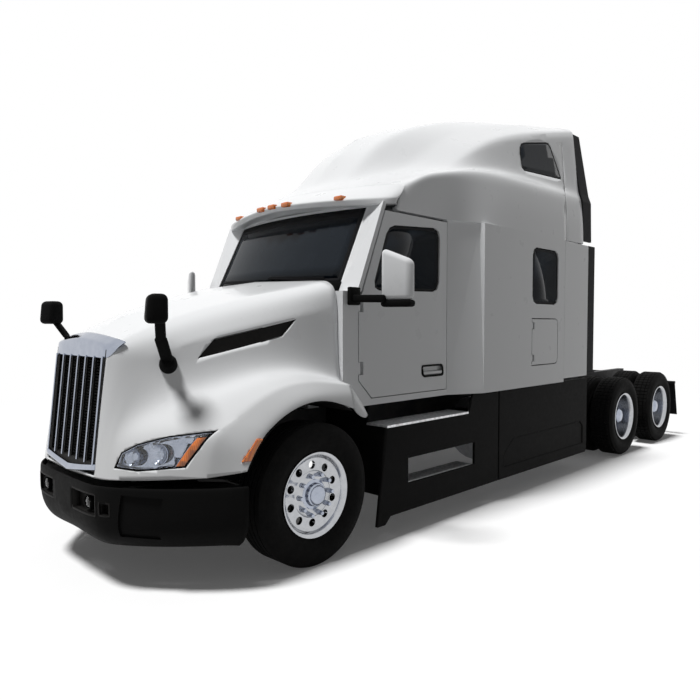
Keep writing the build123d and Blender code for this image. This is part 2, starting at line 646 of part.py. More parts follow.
# Sleeper walls
HATCH_X = (-3450, -2880)
HATCH_Z = (1266, 1752)
HATCH_CORNER = 60
HATCH_SOFT = (0, 3)       # the rear corners; a soft corner at the hinge would meet the turning door
SLEEPER_WINDOW = soften(frame_of((-3444, -2884), (1897, 2470)), WINDOW_CORNER)
wall_inner = SLEEPER_HALF_W - WALL
FLARE_CREASE = ((-1660, 3), (-1985, 112))     # x and out from the cab's side, at the floor and the seam
wall_rings = []
for z, (crease_x, out) in zip((FLOOR_Z[1], SEAM_Z), FLARE_CREASE):
    plan = [(FLARE_X[0], CAB_HALF_W), (crease_x, CAB_HALF_W + out), (FLARE_X[1], SLEEPER_HALF_W),
            (SLEEPER_END_X, SLEEPER_HALF_W), (SLEEPER_END_X, wall_inner), (FLARE_X[1] - 15, wall_inner),
            (FLARE_X[0] - 15, CAB_HALF_W - WALL), (FLARE_X[0], CAB_HALF_W - WALL)]
    wall_rings.append([(ax(x), y, z) for x, y in plan])
wall_y = (wall_inner - 5, SLEEPER_HALF_W + 5)
wall = skin(wall_rings)
wall -= side_prism(SLEEPER_WINDOW, wall_y)
wall -= side_prism(soften(frame_of(HATCH_X, HATCH_Z), HATCH_CORNER, HATCH_SOFT), wall_y)
HATCH_HINGE = (HATCH_X[1] - SHUT_GAP - HINGE_INSET, SLEEPER_HALF_W - HINGE_INSET)
hatch_x = (HATCH_X[0] + SHUT_GAP, HATCH_X[1] - SHUT_GAP)
hatch_z = (HATCH_Z[0] + SHUT_GAP, HATCH_Z[1] - SHUT_GAP)
hatch_outline = soften(frame_of(hatch_x, hatch_z), HATCH_CORNER - SHUT_GAP / 2, HATCH_SOFT)
hatch = side_prism(hatch_outline, (wall_inner, SLEEPER_HALF_W))
hinge_x, hinge_y = HATCH_HINGE
for z in ((1310, 1380), (1640, 1710)):
    hatch -= box((hinge_x - 36, HATCH_X[1]), (hinge_y - 24, SLEEPER_HALF_W + 1), z)
    hatch -= rod((hinge_x, hinge_y, z[1] - 1), (hinge_x, hinge_y, z[1] + 25), HINGE_PIN_R + PIN_GAP)
    wall += box((hinge_x, HATCH_X[1] + 5), (hinge_y - 9, hinge_y + 9), (z[0] + 6, z[1] - 6))
    wall += bar((hinge_x, hinge_y, z[0] + 6), (hinge_x, hinge_y, z[1] - 6), 9, 12)
    wall += rod((hinge_x, hinge_y, z[1] - 20), (hinge_x, hinge_y, z[1] + 20), HINGE_PIN_R)
keep("sleeper_sides", pair(wall))
keep("luggage_door_left", [hatch])
keep("luggage_door_right", [flip(hatch)])
keep("sleeper_back", [box((SLEEPER_END_X - 65, SLEEPER_END_X), (-wall_inner, wall_inner), (FLOOR_Z[1], SEAM_Z))])
side_pane = side_prism(shrink(SLEEPER_WINDOW, SEAT_GAP), (SLEEPER_HALF_W - 40, SLEEPER_HALF_W - 15))

# Side extenders behind the sleeper and their rubber edges
EXTENDER_Y = (SLEEPER_HALF_W - 40, SLEEPER_HALF_W)
EDGE_Y = (SLEEPER_HALF_W - 32, SLEEPER_HALF_W - 8)
extender = box((EXTENDER_END_X, SLEEPER_END_X), EXTENDER_Y, (1095, SEAM_Z - 8))
keep("side_extenders", pair(extender))

# Sun visor
VISOR_HALF_W = CAB_HALF_W - 5
VISOR_X = (-530, -950, -985)
nose_x, tip_x, rear_x = (ax(x) for x in VISOR_X)
tip, far_tip = (tip_x, VISOR_HALF_W, HEADER_Z), (tip_x, -VISOR_HALF_W, HEADER_Z)
back, far_back = (rear_x, VISOR_HALF_W, HEADER_Z), (rear_x, -VISOR_HALF_W, HEADER_Z)
visor_ring = Face(Wire([
    ThreePointArc(tip, (nose_x, 0, HEADER_Z), far_tip),
    Line(far_tip, far_back),
    Line(far_back, back),
    Line(back, tip),
]))
visor = extrude(visor_ring, amount=400, dir=(0, 0, 1))
visor = visor & side_prism([(-500, HEADER_Z), (-500, 2715), (-985, 2900), (-985, HEADER_Z)], (-VISOR_HALF_W, VISOR_HALF_W))
keep("sun_visor", [visor])

# Roof cap
ROOF_STATIONS = (
    # x, half-width at the seam, then (in from it, z) of shoulder, lip and top edge, crown z
    (-985, CAB_HALF_W, (5, 2800), (80, 2865), (350, 3000), 3090),
    (-1250, CAB_HALF_W, (-15, 2920), (60, 2985), (370, 3225), 3330),
    (-1640, CAB_HALF_W + 5, (-70, 3020), (20, 3095), (370, 3410), 3530),
    (-2000, SLEEPER_HALF_W, (25, 3060), (115, 3150), (480, 3570), 3685),
    (-2800, SLEEPER_HALF_W, (15, 3082), (80, 3180), (370, 3800), 3925),
    (EXTENDER_END_X + 130, SLEEPER_HALF_W, (10, 3090), (40, 3180), (170, 3930), 4045),
)
ROOF_SKIN = 45
BROW_DROP = -95


def roof_ring(station, x, inset, drop):
    """Section of the roof; an inner one is plainer."""
    at_x, base, shoulder, lip, edge, crown = station
    half = [(base - inset, SEAM_Z - drop)]
    if not inset:
        half.append((base - shoulder[0], shoulder[1]))
    half.append((base - lip[0] - inset, lip[1] - inset / 2))
    half.append((base - edge[0] - inset, edge[1] - inset))
    if not inset:
        half.append(((base - edge[0]) / 2, crown - (crown - edge[1]) / 4))
    half.append((0, crown - inset))
    return [(ax(x), y, z) for y, z in mirrored(half)]


def roof_block(inset, drop=0, reach=0):
    rings = []
    for station in ROOF_STATIONS:
        x = station[0]
        if station is ROOF_STATIONS[0]:
            x -= inset
        if station is ROOF_STATIONS[-1]:
            x -= reach
        rings.append(roof_ring(station, x, inset, drop))
    return skin(rings)


roof = roof_block(0)
space = roof_block(ROOF_SKIN, 30, 5)
bulkhead = box((SLEEPER_END_X - 65, SLEEPER_END_X), (-2000, 2000), (2000, 5000))
BROW = (-800, 280, (5, 2790), (60, 2820), (260, 2860), 2895)
at_x, narrow, shoulder, lip, edge, crown = BROW
brow_front = roof_ring((at_x, CAB_HALF_W - narrow, shoulder, lip, edge, crown), at_x, 0, BROW_DROP)
first = ROOF_STATIONS[0]
brow = skin([brow_front, roof_ring(first, first[0], 0, BROW_DROP)]) - visor
roof = fuse([roof, brow]) - (space - bulkhead)
ROOF_WINDOW = soften([(-3570, 3270), (-2900, 3280), (-3190, 3610), (-3580, 3650)], WINDOW_CORNER)
roof_body = roof - side_prism(ROOF_WINDOW, (600, 1300)) - side_prism(ROOF_WINDOW, (-1300, -600))
roof_pane = roof & side_prism(shrink(ROOF_WINDOW, SEAT_GAP), (600, 1300))
keep("roof_cap", [roof_body])
keep("fixed_glass", [screen] + pair(side_pane) + pair(roof_pane))

lower_edge = box((EXTENDER_END_X - 190, EXTENDER_END_X), EDGE_Y, (1125, SEAM_Z - 8))
at_x, base, shoulder, lip, edge, crown = ROOF_STATIONS[-1]
EDGE_T = 24
upper_outer = [(base - 8, SEAM_Z + 35), (base - shoulder[0] - 8, shoulder[1]),
               (base - lip[0] - 10, lip[1]), (base - edge[0] - 5, edge[1] - 40)]
upper_outline = upper_outer + [(y - EDGE_T, z) for y, z in reversed(upper_outer)]
upper_edge = front_prism(upper_outline, (at_x - 220, at_x))
keep("extender_edges", pair(lower_edge) + pair(upper_edge))

# Cab interior
dash_outline = [(COWL_X - 60, 1450), (COWL_X - 60, 1900), (-800, 1880), (-840, 1620), (-600, 1450)]
DASH_HALF_W = DOOR_Y[0] - 5
keep("dashboard", [side_prism(dash_outline, (-DASH_HALF_W, DASH_HALF_W))])
SEAT_Y = CAB_HALF_W / 2
seats = []
for side in (1, -1):
    y = (side * SEAT_Y - 260, side * SEAT_Y + 260)
    seat = box((-1560, -1060), y, (FLOOR_Z[1], 1520))
    seat += side_prism([(-1460, 1500), (-1560, 2230), (-1680, 2230), (-1600, 1500)], y)
    seats.append(seat)
seats.append(box((SLEEPER_END_X, -2700), (-wall_inner, wall_inner), (1765, 1950)))
keep("seats", seats)
column = bar((-830, SEAT_Y, 1690), (-960, SEAT_Y, 1750), 35)
rim_plane = Plane(origin=(ax(-960), SEAT_Y, 1750), z_dir=(-130, 0, 60))
rim_face = rim_plane * (RegularPolygon(240, 24) - RegularPolygon(208, 24))
wheel_rim = extrude(rim_face, amount=14, both=True)
spoke = bar((-960, SEAT_Y - 222, 1750), (-960, SEAT_Y + 222, 1750), 12, 8)
steering = fuse([column, wheel_rim, spoke])
dash_solid = nodes["dashboard"][0]
keep("steering_wheel", [steering - dash_solid])

# Main mirrors on the cowl
near_y, far_y = CAB_HALF_W + 250, CAB_HALF_W + 450
head_plan = [(-482, near_y), (-464, near_y + 60), (-502, far_y - 70), (-560, far_y), (-655, far_y),
             (-550, near_y)]
HEAD_ROWS = ((1810, 26), (1840, 0), (2200, 0), (2240, 30))
mirror_body = skin([[(ax(x), y, z) for x, y in shrink(head_plan, draw)] for z, draw in HEAD_ROWS])
mirror_body += box((-480, -400), (CAB_HALF_W, near_y + 40), (1850, 1890))
keep("main_mirrors", pair(mirror_body))

# Hood: engine cover and fenders
HOOD_STATIONS = (
    # x at the sill, lean, top z, then (y, z) of crown, crease, valley and foot
    (1240, 0.109, 1600, (360, 1578), (462, 1500), (470, 1050), (470, 705)),
    (1000, 0, 1690, (390, 1660), (555, 1490), (570, 1120), (570, 710)),
    (720, 0, 1785, (470, 1750), (690, 1572), (705, 1250), (705, 730)),
    (260, 0, 1910, (620, 1868), (872, 1690), (890, 1390), (890, 800)),
    (HOOD_REAR_X, 0, 2050, (CAB_HALF_W - 190, 2015), (CAB_HALF_W - 55, 1810),
     (CAB_HALF_W - 40, 1260), (CAB_HALF_W - 40, 1100)),
)


def hood_ring(station, inset, shift=0, drop=0):
    """Section of the engine cover; an inner one is plainer."""
    sill_x, lean, top, crown, crease, valley, foot = station
    half = [(foot[0] - inset, foot[1] - drop)]
    if not inset:
        half.append(valley)
    half.append((crease[0] - inset, crease[1] - inset / 2))
    half.append((crown[0] - inset / 2, crown[1] - inset))
    if not inset:
        half.append((crown[0] / 2, top - (top - crown[1]) / 4))
    half.append((0, top - inset))
    return [(ax(sill_x + shift - lean * (z - 720)), y, z) for y, z in mirrored(half)]


def hood_cover(inset, drop=0, open_rear=False):
    rings = []
    for station in HOOD_STATIONS:
        shift = 0
        if station is HOOD_STATIONS[0]:
            shift = -inset
        if station is HOOD_STATIONS[-1] and open_rear:
            shift = -30
        rings.append(hood_ring(station, inset, shift, drop))
    return skin(rings)


FENDER_PROFILES = (
    # y, then (x, z) of sill, brow, crest, saddle, tail top, tail tip
    (500, ((1222, 725), (1160, 975), (780, 1240), (120, 1405), (-330, 1265), (-332, 900))),
    (850, ((1030, 735), (985, 1000), (600, 1290), (130, 1385), (-340, 1258), (-420, 960))),
    (1090, ((712, 755), (690, 1040), (420, 1238), (160, 1296), (-300, 1248), (-500, 1020))),
    (1155, ((592, 770), (590, 900), (400, 1130), (120, 1205), (-270, 1160), (-530, 1000))),
)


def fender_ring(profile, inset, y_inset):
    y, spots = profile
    points = []
    for x, z in spots:
        points.append((ax(x - (inset if x > 500 else 0)), y - y_inset, z - (inset if z > 800 else 0)))
    return points


def fender_block(inset):
    rings = [fender_ring(p, inset, inset if p[0] > 1000 else 0) for p in FENDER_PROFILES]
    return skin(rings)


cover = hood_cover(0)
fender = fender_block(0)
well = rod((0, 420, TYRE_R), (0, 1300, TYRE_R), ARCH_R)
tail_clear = box((-900, HOOD_REAR_X), (0, CAB_HALF_W + 12), (600, 1500))
fender = fender - tail_clear
bay = hood_cover(HOOD_SKIN, 200, True)
hood = fuse([cover] + pair(fender)) - bay - well - flip(well)
LAMP_OUTLINE = [(558, 791), (679, 800), (723, 776), (935, 808), (993, 921), (1037, 1032), (830, 998),
                (672, 944), (586, 889)]
lamp_skin = fender_block(0) - fender_block(45)
lamp = (lamp_skin & front_prism(shrink(LAMP_OUTLINE, SEAT_GAP), (600, 1300))) - bay - well
lamp_hole = lamp_skin & front_prism(LAMP_OUTLINE, (600, 1300))
VENT_OUTLINE = [(675, 1463), (570, 1588), (10, 1722), (120, 1605)]
vent_hole = side_prism(VENT_OUTLINE, (500, 1100))
vent = (cover - bay) & side_prism(shrink(VENT_OUTLINE, SEAT_GAP), (500, 1100))
GRILLE_OUTLINE = [(-GRILLE_HALF_W, GRILLE_Z[0]), (GRILLE_HALF_W, GRILLE_Z[0]),
                  (GRILLE_HALF_W, GRILLE_Z[1]), (-GRILLE_HALF_W, GRILLE_Z[1])]
grille_hole = front_prism(GRILLE_OUTLINE, (1050, 1300))
hood = hood - grille_hole - lamp_hole - flip(lamp_hole) - vent_hole - flip(vent_hole)
hinge_lug = box((axis_x - 18, 1226), HINGE_LUG_Y, (axis_z - 18, 742))
hood = fuse([hood] + pair(hinge_lug))
hood = hood - rod((axis_x, -500, axis_z), (axis_x, 500, axis_z), 12 + PIN_GAP)
keep("hood", [hood])
GRILLE_FRAME = 55
GRILLE_BAR_T = 12
nose = (cover - bay) & front_prism(shrink(GRILLE_OUTLINE, SEAT_GAP), (1050, 1300))
frame_hole = front_prism(shrink(GRILLE_OUTLINE, GRILLE_FRAME), (1050, 1300))
bar_skin = nose - hood_cover(GRILLE_BAR_T, 200)
bars = []
for y in (-250, -125, 0, 125, 250):
    bars.append(bar_skin & box((1050, 1300), (y - 9, y + 9), GRILLE_Z))
grille = fuse([nose - frame_hole] + bars)
keep("grille", [grille])
SLAT_PITCH = 40
SLAT_H = 22
slat_y = GRILLE_HALF_W - GRILLE_FRAME - SEAT_GAP
slats = []
slat_skin = hood_cover(GRILLE_BAR_T) - bay
z = GRILLE_Z[0] + GRILLE_FRAME + 12
while z + SLAT_H < GRILLE_Z[1] - GRILLE_FRAME:
    slats.append(slat_skin & box((1050, 1300), (-slat_y, slat_y), (z, z + SLAT_H)))
    z += SLAT_PITCH
keep("hood_mesh", slats + pair(vent))
keep("hood_lamps", pair(lamp))
stalk = bar((835, 590, 1330), (940, 740, 1600), 14, 10) + bar((940, 740, 1600), (1030, 850, 1770), 14, 10)
head = plan_prism([(1000, 770), (1060, 920), (1100, 905), (1040, 755)], (1730, 1890))
keep("hood_mirrors", pair(fuse([stalk, head]) - cover - fender))

# Lamps on the chassis and roof
markers = []
for y in (-680, -170, 0, 170, 680):
    bow = VISOR_X[0] - 390 * (y / VISOR_HALF_W) ** 2
    top = 2715 - 0.38 * (bow - 30 + 500)
    markers.append(box((bow - 70, bow - 12), (y - 32, y + 32), (top - 30, top + 26)) - visor)
keep("marker_lamps", markers)
rear_member = CROSSMEMBERS[-1][0] - 45
keep("tail_lamps", pair(box((rear_member - 30, rear_member), (220, 330), (810, 890))))

os.makedirs("parts", exist_ok=True)
for name, solids in nodes.items():
    shape = solids[0] if len(solids) == 1 else Compound(children=solids)
    export_step(shape, os.path.join("parts", name + ".step"))
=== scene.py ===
"""Highway tractor unit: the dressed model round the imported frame."""
import math
import bmesh
import bpy
from mathutils import Matrix, Vector


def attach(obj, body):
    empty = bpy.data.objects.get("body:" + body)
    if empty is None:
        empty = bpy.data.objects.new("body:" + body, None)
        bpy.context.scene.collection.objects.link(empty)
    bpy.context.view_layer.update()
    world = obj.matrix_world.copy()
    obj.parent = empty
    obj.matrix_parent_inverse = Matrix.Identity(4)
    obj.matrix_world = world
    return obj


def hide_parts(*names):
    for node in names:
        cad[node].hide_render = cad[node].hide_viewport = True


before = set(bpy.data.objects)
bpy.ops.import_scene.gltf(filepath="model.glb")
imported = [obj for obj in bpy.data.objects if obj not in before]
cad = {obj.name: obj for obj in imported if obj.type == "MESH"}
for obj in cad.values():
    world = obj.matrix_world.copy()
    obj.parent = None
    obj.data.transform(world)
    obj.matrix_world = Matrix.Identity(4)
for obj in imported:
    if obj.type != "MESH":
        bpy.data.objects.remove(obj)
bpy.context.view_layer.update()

AXLE_X = 3.065            # front axle
DRIVE_X = (-5.34, -6.66)  # drive axles, from the front axle
AXLE_Z = 0.5
FRONT_Y = 1.005           # middle of a front tyre
TWIN_Y = (0.739, 1.082)   # middles of a pair of twin tyres
HUB_Y = 0.9105            # middle of a pair
STUDS = 10
SIDES = (("left", 1), ("right", -1))


class Shade:
    """A socket of a material's tree; sums, products and comparisons add Math nodes."""

    def __init__(self, tree, socket=None):
        self.tree = tree
        self.socket = socket

    def node(self, kind, settings=None, sockets=None, out=0):
        made = self.tree.nodes.new("ShaderNode" + kind)
        for name, value in (settings or {}).items():
            setattr(made, name, value)
        for name, value in (sockets or {}).items():
            if isinstance(value, Shade):
                self.tree.links.new(value.socket, made.inputs[name])
            else:
                made.inputs[name].default_value = value
        return Shade(self.tree, made.outputs[out])

    def math(self, operation, a, b):
        return self.node("Math", {"operation": operation}, {0: a, 1: b})

    def __add__(self, other):
        return self.math("ADD", self, other)

    def __radd__(self, other):
        return self.math("ADD", other, self)

    def __sub__(self, other):
        return self.math("SUBTRACT", self, other)

    def __rsub__(self, other):
        return self.math("SUBTRACT", other, self)

    def __mul__(self, other):
        return self.math("MULTIPLY", self, other)

    def __truediv__(self, other):
        return self.math("DIVIDE", self, other)

    def __lt__(self, other):
        return self.math("LESS_THAN", self, other)

    def held(self):
        """The value kept between 0 and 1."""
        return self.node("Clamp", None, {"Value": self})


def place(shade):
    return shade.node("TexCoord", out="Object")


def along(shade, axis):
    return shade.node("SeparateXYZ", None, {"Vector": place(shade)}, out=axis)


def noise(shade, scale, detail=3.0):
    return shade.node("TexNoise", None, {"Vector": place(shade), "Scale": scale, "Detail": detail}, out="Fac")


def blend(shade, mask, low, high):
    """Colour that goes from low to high with the mask."""
    return shade.node("Mix", {"data_type": "RGBA"}, {0: mask, 6: low, 7: high}, out=2)


def bump(shade, height, strength, depth):
    return shade.node("Bump", None, {"Height": height, "Strength": strength, "Distance": depth})


def finish(name, recipe, **fixed):
    """Material of one surface shader: fixed sockets, and those that the recipe varies."""
    made = bpy.data.materials.new(name)
    made.use_nodes = True
    surface = made.node_tree.nodes["Principled BSDF"]
    for socket, value in fixed.items():
        surface.inputs[socket.replace("_", " ")].default_value = value
    for socket, shade in recipe(Shade(made.node_tree)).items():
        made.node_tree.links.new(shade.socket, surface.inputs[socket])
    return made


def road_dust(shade, top):
    """Mask that is strongest near the road and patchy."""
    return ((top - along(shade, "Z")) * (1 / top) * noise(shade, 2.5, 5.0)).held()


def paint_look(shade):
    mask = road_dust(shade, 1.5) * 0.35
    return {"Base Color": blend(shade, mask, (0.80, 0.81, 0.82, 1), (0.55, 0.53, 0.50, 1)),
            "Roughness": 0.24 + noise(shade, 6.0) * 0.10 + mask * 0.4,
            "Normal": bump(shade, noise(shade, 420.0, 1.0), 0.03, 0.001)}


def plastic_look(shade):
    mask = road_dust(shade, 1.2) * 0.30
    return {"Base Color": blend(shade, mask, (0.006, 0.006, 0.006, 1), (0.020, 0.019, 0.018, 1)),
            "Roughness": 0.46 + noise(shade, 30.0) * 0.2,
            "Normal": bump(shade, noise(shade, 900.0, 2.0), 0.18, 0.001)}


def frame_look(shade):
    mask = (noise(shade, 9.0, 6.0) - 0.45).held() * 1.2
    return {"Base Color": blend(shade, mask, (0.014, 0.014, 0.015, 1), (0.07, 0.065, 0.06, 1)),
            "Roughness": 0.42 + noise(shade, 18.0) * 0.3,
            "Normal": bump(shade, noise(shade, 160.0), 0.15, 0.002)}


def tyre_look(shade):
    mask = (noise(shade, 14.0, 6.0) - 0.35).held() * 0.8
    return {"Base Color": blend(shade, mask, (0.006, 0.006, 0.006, 1), (0.022, 0.021, 0.020, 1)),
            "Roughness": 0.62 + noise(shade, 40.0) * 0.25,
            "Normal": bump(shade, noise(shade, 300.0, 4.0), 0.2, 0.001)}


def rubber_look(shade):
    mask = noise(shade, 12.0, 5.0) * 0.4
    return {"Base Color": blend(shade, mask, (0.005, 0.005, 0.006, 1), (0.020, 0.020, 0.020, 1)),
            "Roughness": 0.6 + noise(shade, 50.0) * 0.25,
            "Normal": bump(shade, noise(shade, 500.0), 0.2, 0.001)}


def polished_look(shade):
    # Tones far darker than bare aluminium: painted dark reflection of the surroundings; the patches are partly real
    # smears.
    smear = noise(shade, 25.0, 5.0)
    return {"Base Color": blend(shade, smear, (0.52, 0.53, 0.55, 1), (0.36, 0.37, 0.39, 1)),
            "Roughness": 0.10 + smear * 0.12,
            "Normal": bump(shade, noise(shade, 240.0), 0.03, 0.001)}


def chrome_look(shade):
    smear = noise(shade, 18.0, 5.0)
    return {"Base Color": blend(shade, smear, (0.44, 0.47, 0.54, 1), (0.30, 0.33, 0.40, 1)),
            "Roughness": 0.03 + smear * 0.08}


def mesh_look(shade):
    return {"Base Color": blend(shade, noise(shade, 30.0), (0.005, 0.005, 0.005, 1), (0.018, 0.017, 0.016, 1)),
            "Roughness": 0.4 + noise(shade, 60.0) * 0.3}


def glass_look(shade):
    film = noise(shade, 5.0, 6.0)
    return {"Base Color": blend(shade, film, (0.010, 0.015, 0.022, 1), (0.016, 0.023, 0.032, 1)),
            "Roughness": 0.01 + film * 0.03}


def lens_look(shade):
    film = noise(shade, 20.0, 4.0)
    return {"Base Color": blend(shade, film, (0.94, 0.95, 0.96, 1), (0.86, 0.87, 0.88, 1)),
            "Roughness": 0.02 + film * 0.04}


def ribbed(shade, deep, bright):
    """Coloured lens with fine upright ribs."""
    ribs = shade.node("TexWave", {"bands_direction": "Y"}, {"Vector": place(shade), "Scale": 40.0}, out="Fac")
    return {"Base Color": blend(shade, ribs, deep, bright), "Roughness": 0.12 + ribs * 0.1,
            "Normal": bump(shade, ribs, 0.3, 0.002)}


def amber_look(shade):
    return ribbed(shade, (0.62, 0.11, 0.005, 1), (0.86, 0.24, 0.012, 1))


def red_look(shade):
    return ribbed(shade, (0.30, 0.006, 0.005, 1), (0.55, 0.016, 0.012, 1))


def cabin_look(shade):
    return {"Base Color": blend(shade, noise(shade, 8.0), (0.045, 0.045, 0.048, 1), (0.075, 0.074, 0.074, 1)),
            "Roughness": 0.55 + noise(shade, 40.0) * 0.2,
            "Normal": bump(shade, noise(shade, 700.0), 0.25, 0.001)}


def cloth_look(shade):
    across = shade.node("TexWave", {"bands_direction": "Y"}, {"Vector": place(shade), "Scale": 90.0}, out="Fac")
    down = shade.node("TexWave", {"bands_direction": "Z"}, {"Vector": place(shade), "Scale": 90.0}, out="Fac")
    weave = across * 0.5 + down * 0.5
    return {"Base Color": blend(shade, weave, (0.055, 0.056, 0.060, 1), (0.12, 0.12, 0.125, 1)),
            "Roughness": 0.8 + noise(shade, 30.0) * 0.15,
            "Normal": bump(shade, weave, 0.4, 0.001)}


def casting_look(shade):
    return {"Base Color": blend(shade, noise(shade, 12.0, 6.0), (0.06, 0.06, 0.062, 1), (0.17, 0.16, 0.15, 1)),
            "Roughness": 0.55 + noise(shade, 30.0) * 0.3,
            "Normal": bump(shade, noise(shade, 90.0, 5.0), 0.3, 0.002)}


def tread_look(shade):
    cells = shade.node("TexVoronoi", None, {"Vector": place(shade), "Scale": 38.0}, out="Distance")
    return {"Base Color": blend(shade, cells, (0.75, 0.76, 0.77, 1), (0.42, 0.42, 0.43, 1)),
            "Roughness": 0.25 + cells * 0.3,
            "Normal": bump(shade, cells < 0.35, 0.6, 0.003)}


FINISHES = {
    "white_paint": finish("white_paint", paint_look, Coat_Weight=0.4, Coat_Roughness=0.06, Specular_IOR_Level=0.25),
    "black_plastic": finish("black_plastic", plastic_look, Specular_IOR_Level=0.03),
    "rubber": finish("rubber", rubber_look, Specular_IOR_Level=0.12),
    "frame_black": finish("frame_black", frame_look, Specular_IOR_Level=0.2),
    "engine_metal": finish("engine_metal", casting_look, Metallic=0.6),
    "aluminium": finish("aluminium", polished_look, Metallic=1.0),
    "tread_plate": finish("tread_plate", tread_look, Metallic=1.0),
    "tyre": finish("tyre", tyre_look, Specular_IOR_Level=0.05),
    "chrome": finish("chrome", chrome_look, Metallic=1.0),
    "dark_mesh": finish("dark_mesh", mesh_look, Specular_IOR_Level=0.08),
    "glass": finish("glass", glass_look, Transmission_Weight=0.25, IOR=1.45, Specular_IOR_Level=0.04),
    "lamp_clear": finish("lamp_clear", lens_look, Transmission_Weight=1.0, IOR=1.45),
    "lamp_amber": finish("lamp_amber", amber_look, Coat_Weight=0.5),
    "lamp_red": finish("lamp_red", red_look, Coat_Weight=0.5),
    "interior": finish("interior", cabin_look),
    "seat_fabric": finish("seat_fabric", cloth_look),
}


def at(x, y, z):
    """Point given by its distance forward of the front axle."""
    return Vector((AXLE_X + x, y, z))


def add_steps(thing, steps):
    """Modifiers given as (type, settings)."""
    for kind, settings in steps:
        step = thing.modifiers.new(kind.lower(), kind)
        for key, value in settings.items():
            setattr(step, key, value)


def piece(name, bm, body, look, stands_for=(), steps=(), angle=35, closed=True):
    """Finished object on a body, hiding the CAD nodes that it stands for."""
    mesh = bpy.data.meshes.new(name)
    if closed:
        bmesh.ops.recalc_face_normals(bm, faces=bm.faces)
    bm.to_mesh(mesh)
    bm.free()
    mesh.shade_smooth()
    mesh.set_sharp_from_angle(angle=math.radians(angle))
    made = bpy.data.objects.new(name, mesh)
    bpy.context.collection.objects.link(made)
    mesh.materials.append(FINISHES[look])
    add_steps(made, steps)
    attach(made, body)
    if stands_for:
        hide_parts(*stands_for)
    return made


def worked(bm, *steps):
    """The mesh once its modifiers are applied."""
    mesh = bpy.data.meshes.new("work")
    bm.to_mesh(mesh)
    bm.free()
    blank = bpy.data.objects.new("work", mesh)
    bpy.context.collection.objects.link(blank)
    add_steps(blank, steps)
    graph = bpy.context.evaluated_depsgraph_get()
    done = bpy.data.meshes.new_from_object(blank.evaluated_get(graph))
    bpy.data.objects.remove(blank)
    out = bmesh.new()
    out.from_mesh(done)
    return out


def subdivided(levels):
    return ("SUBSURF", {"levels": levels, "render_levels": levels, "boundary_smooth": "PRESERVE_CORNERS"})


def thick(depth, offset=-1):
    return ("SOLIDIFY", {"thickness": depth, "offset": offset})


def both_sides(bm):
    """Add the copy on the other side of the vehicle and close the middle."""
    bmesh.ops.mirror(bm, geom=bm.verts[:] + bm.edges[:] + bm.faces[:], axis="Y", merge_dist=0.0005)
    bmesh.ops.remove_doubles(bm, verts=bm.verts, dist=0.0005)
    return bm


def sheet(rows, columns=None, across=None):
    """Grid of rows of points given from the front axle; creases by column and by row."""
    bm = bmesh.new()
    width = len(rows[0])
    bmesh.ops.create_grid(bm, x_segments=width - 1, y_segments=len(rows) - 1, size=1)
    bm.verts.index_update()
    for vert, spot in zip(bm.verts, [at(*spot) for row in rows for spot in row]):
        vert.co = spot
    sharp = bm.edges.layers.float.new("crease_edge")
    for edge in bm.edges:
        a, b = sorted(v.index for v in edge.verts)
        if a % width == b % width:
            edge[sharp] = (columns or {}).get(a % width, 0)
        else:
            edge[sharp] = (across or {}).get(a // width, 0)
    return bm


def outward(bm, middle):
    """Turn the faces of an open sheet away from a point inside."""
    bmesh.ops.recalc_face_normals(bm, faces=bm.faces)
    inner = at(*middle)
    if sum(f.normal.dot(f.calc_center_median() - inner) * f.calc_area() for f in bm.faces) < 0:
        bmesh.ops.reverse_faces(bm, faces=bm.faces)
    return bm


def take(bm, faces):
    """Move faces out of a mesh into one of their own."""
    bm.faces.index_update()
    chosen = {f.index for f in faces}
    out = bm.copy()
    out.faces.index_update()
    bmesh.ops.delete(out, geom=[f for f in out.faces if f.index not in chosen], context="FACES")
    bmesh.ops.delete(bm, geom=list(faces), context="FACES")
    return out


def sunk(bm, shift):
    """Sink a patch, with walls from its edge."""
    flush = bm.faces[:]
    moved = bmesh.ops.extrude_face_region(bm, geom=flush)["geom"]
    bmesh.ops.translate(bm, vec=shift, verts=[v for v in moved if isinstance(v, bmesh.types.BMVert)])
    bmesh.ops.delete(bm, geom=flush, context="FACES_ONLY")
    return bm


def shrunk(outline, margin):
    """Convex outline with each side moved in."""
    middle = sum((Vector(spot) for spot in outline), Vector((0, 0))) / len(outline)
    sides = []
    for start, end in zip(outline, outline[1:] + outline[:1]):
        run = Vector(end) - Vector(start)
        inward = Vector((run.y, -run.x)).normalized()
        if inward.dot(middle - Vector(start)) < 0:
            inward.negate()
        sides.append((Vector(start) + inward * margin, run))
    corners = []
    for (p, u), (q, v) in zip(sides[-1:] + sides, sides):
        corners.append(tuple(p + u * ((q - p).cross(v) / u.cross(v))))
    return corners


def banded(bm, width):
    """Split a patch into the band along its edge and the rest."""
    ring = bmesh.ops.inset_region(bm, faces=bm.faces[:], thickness=width, use_boundary=True)["faces"]
    return take(bm, ring), bm


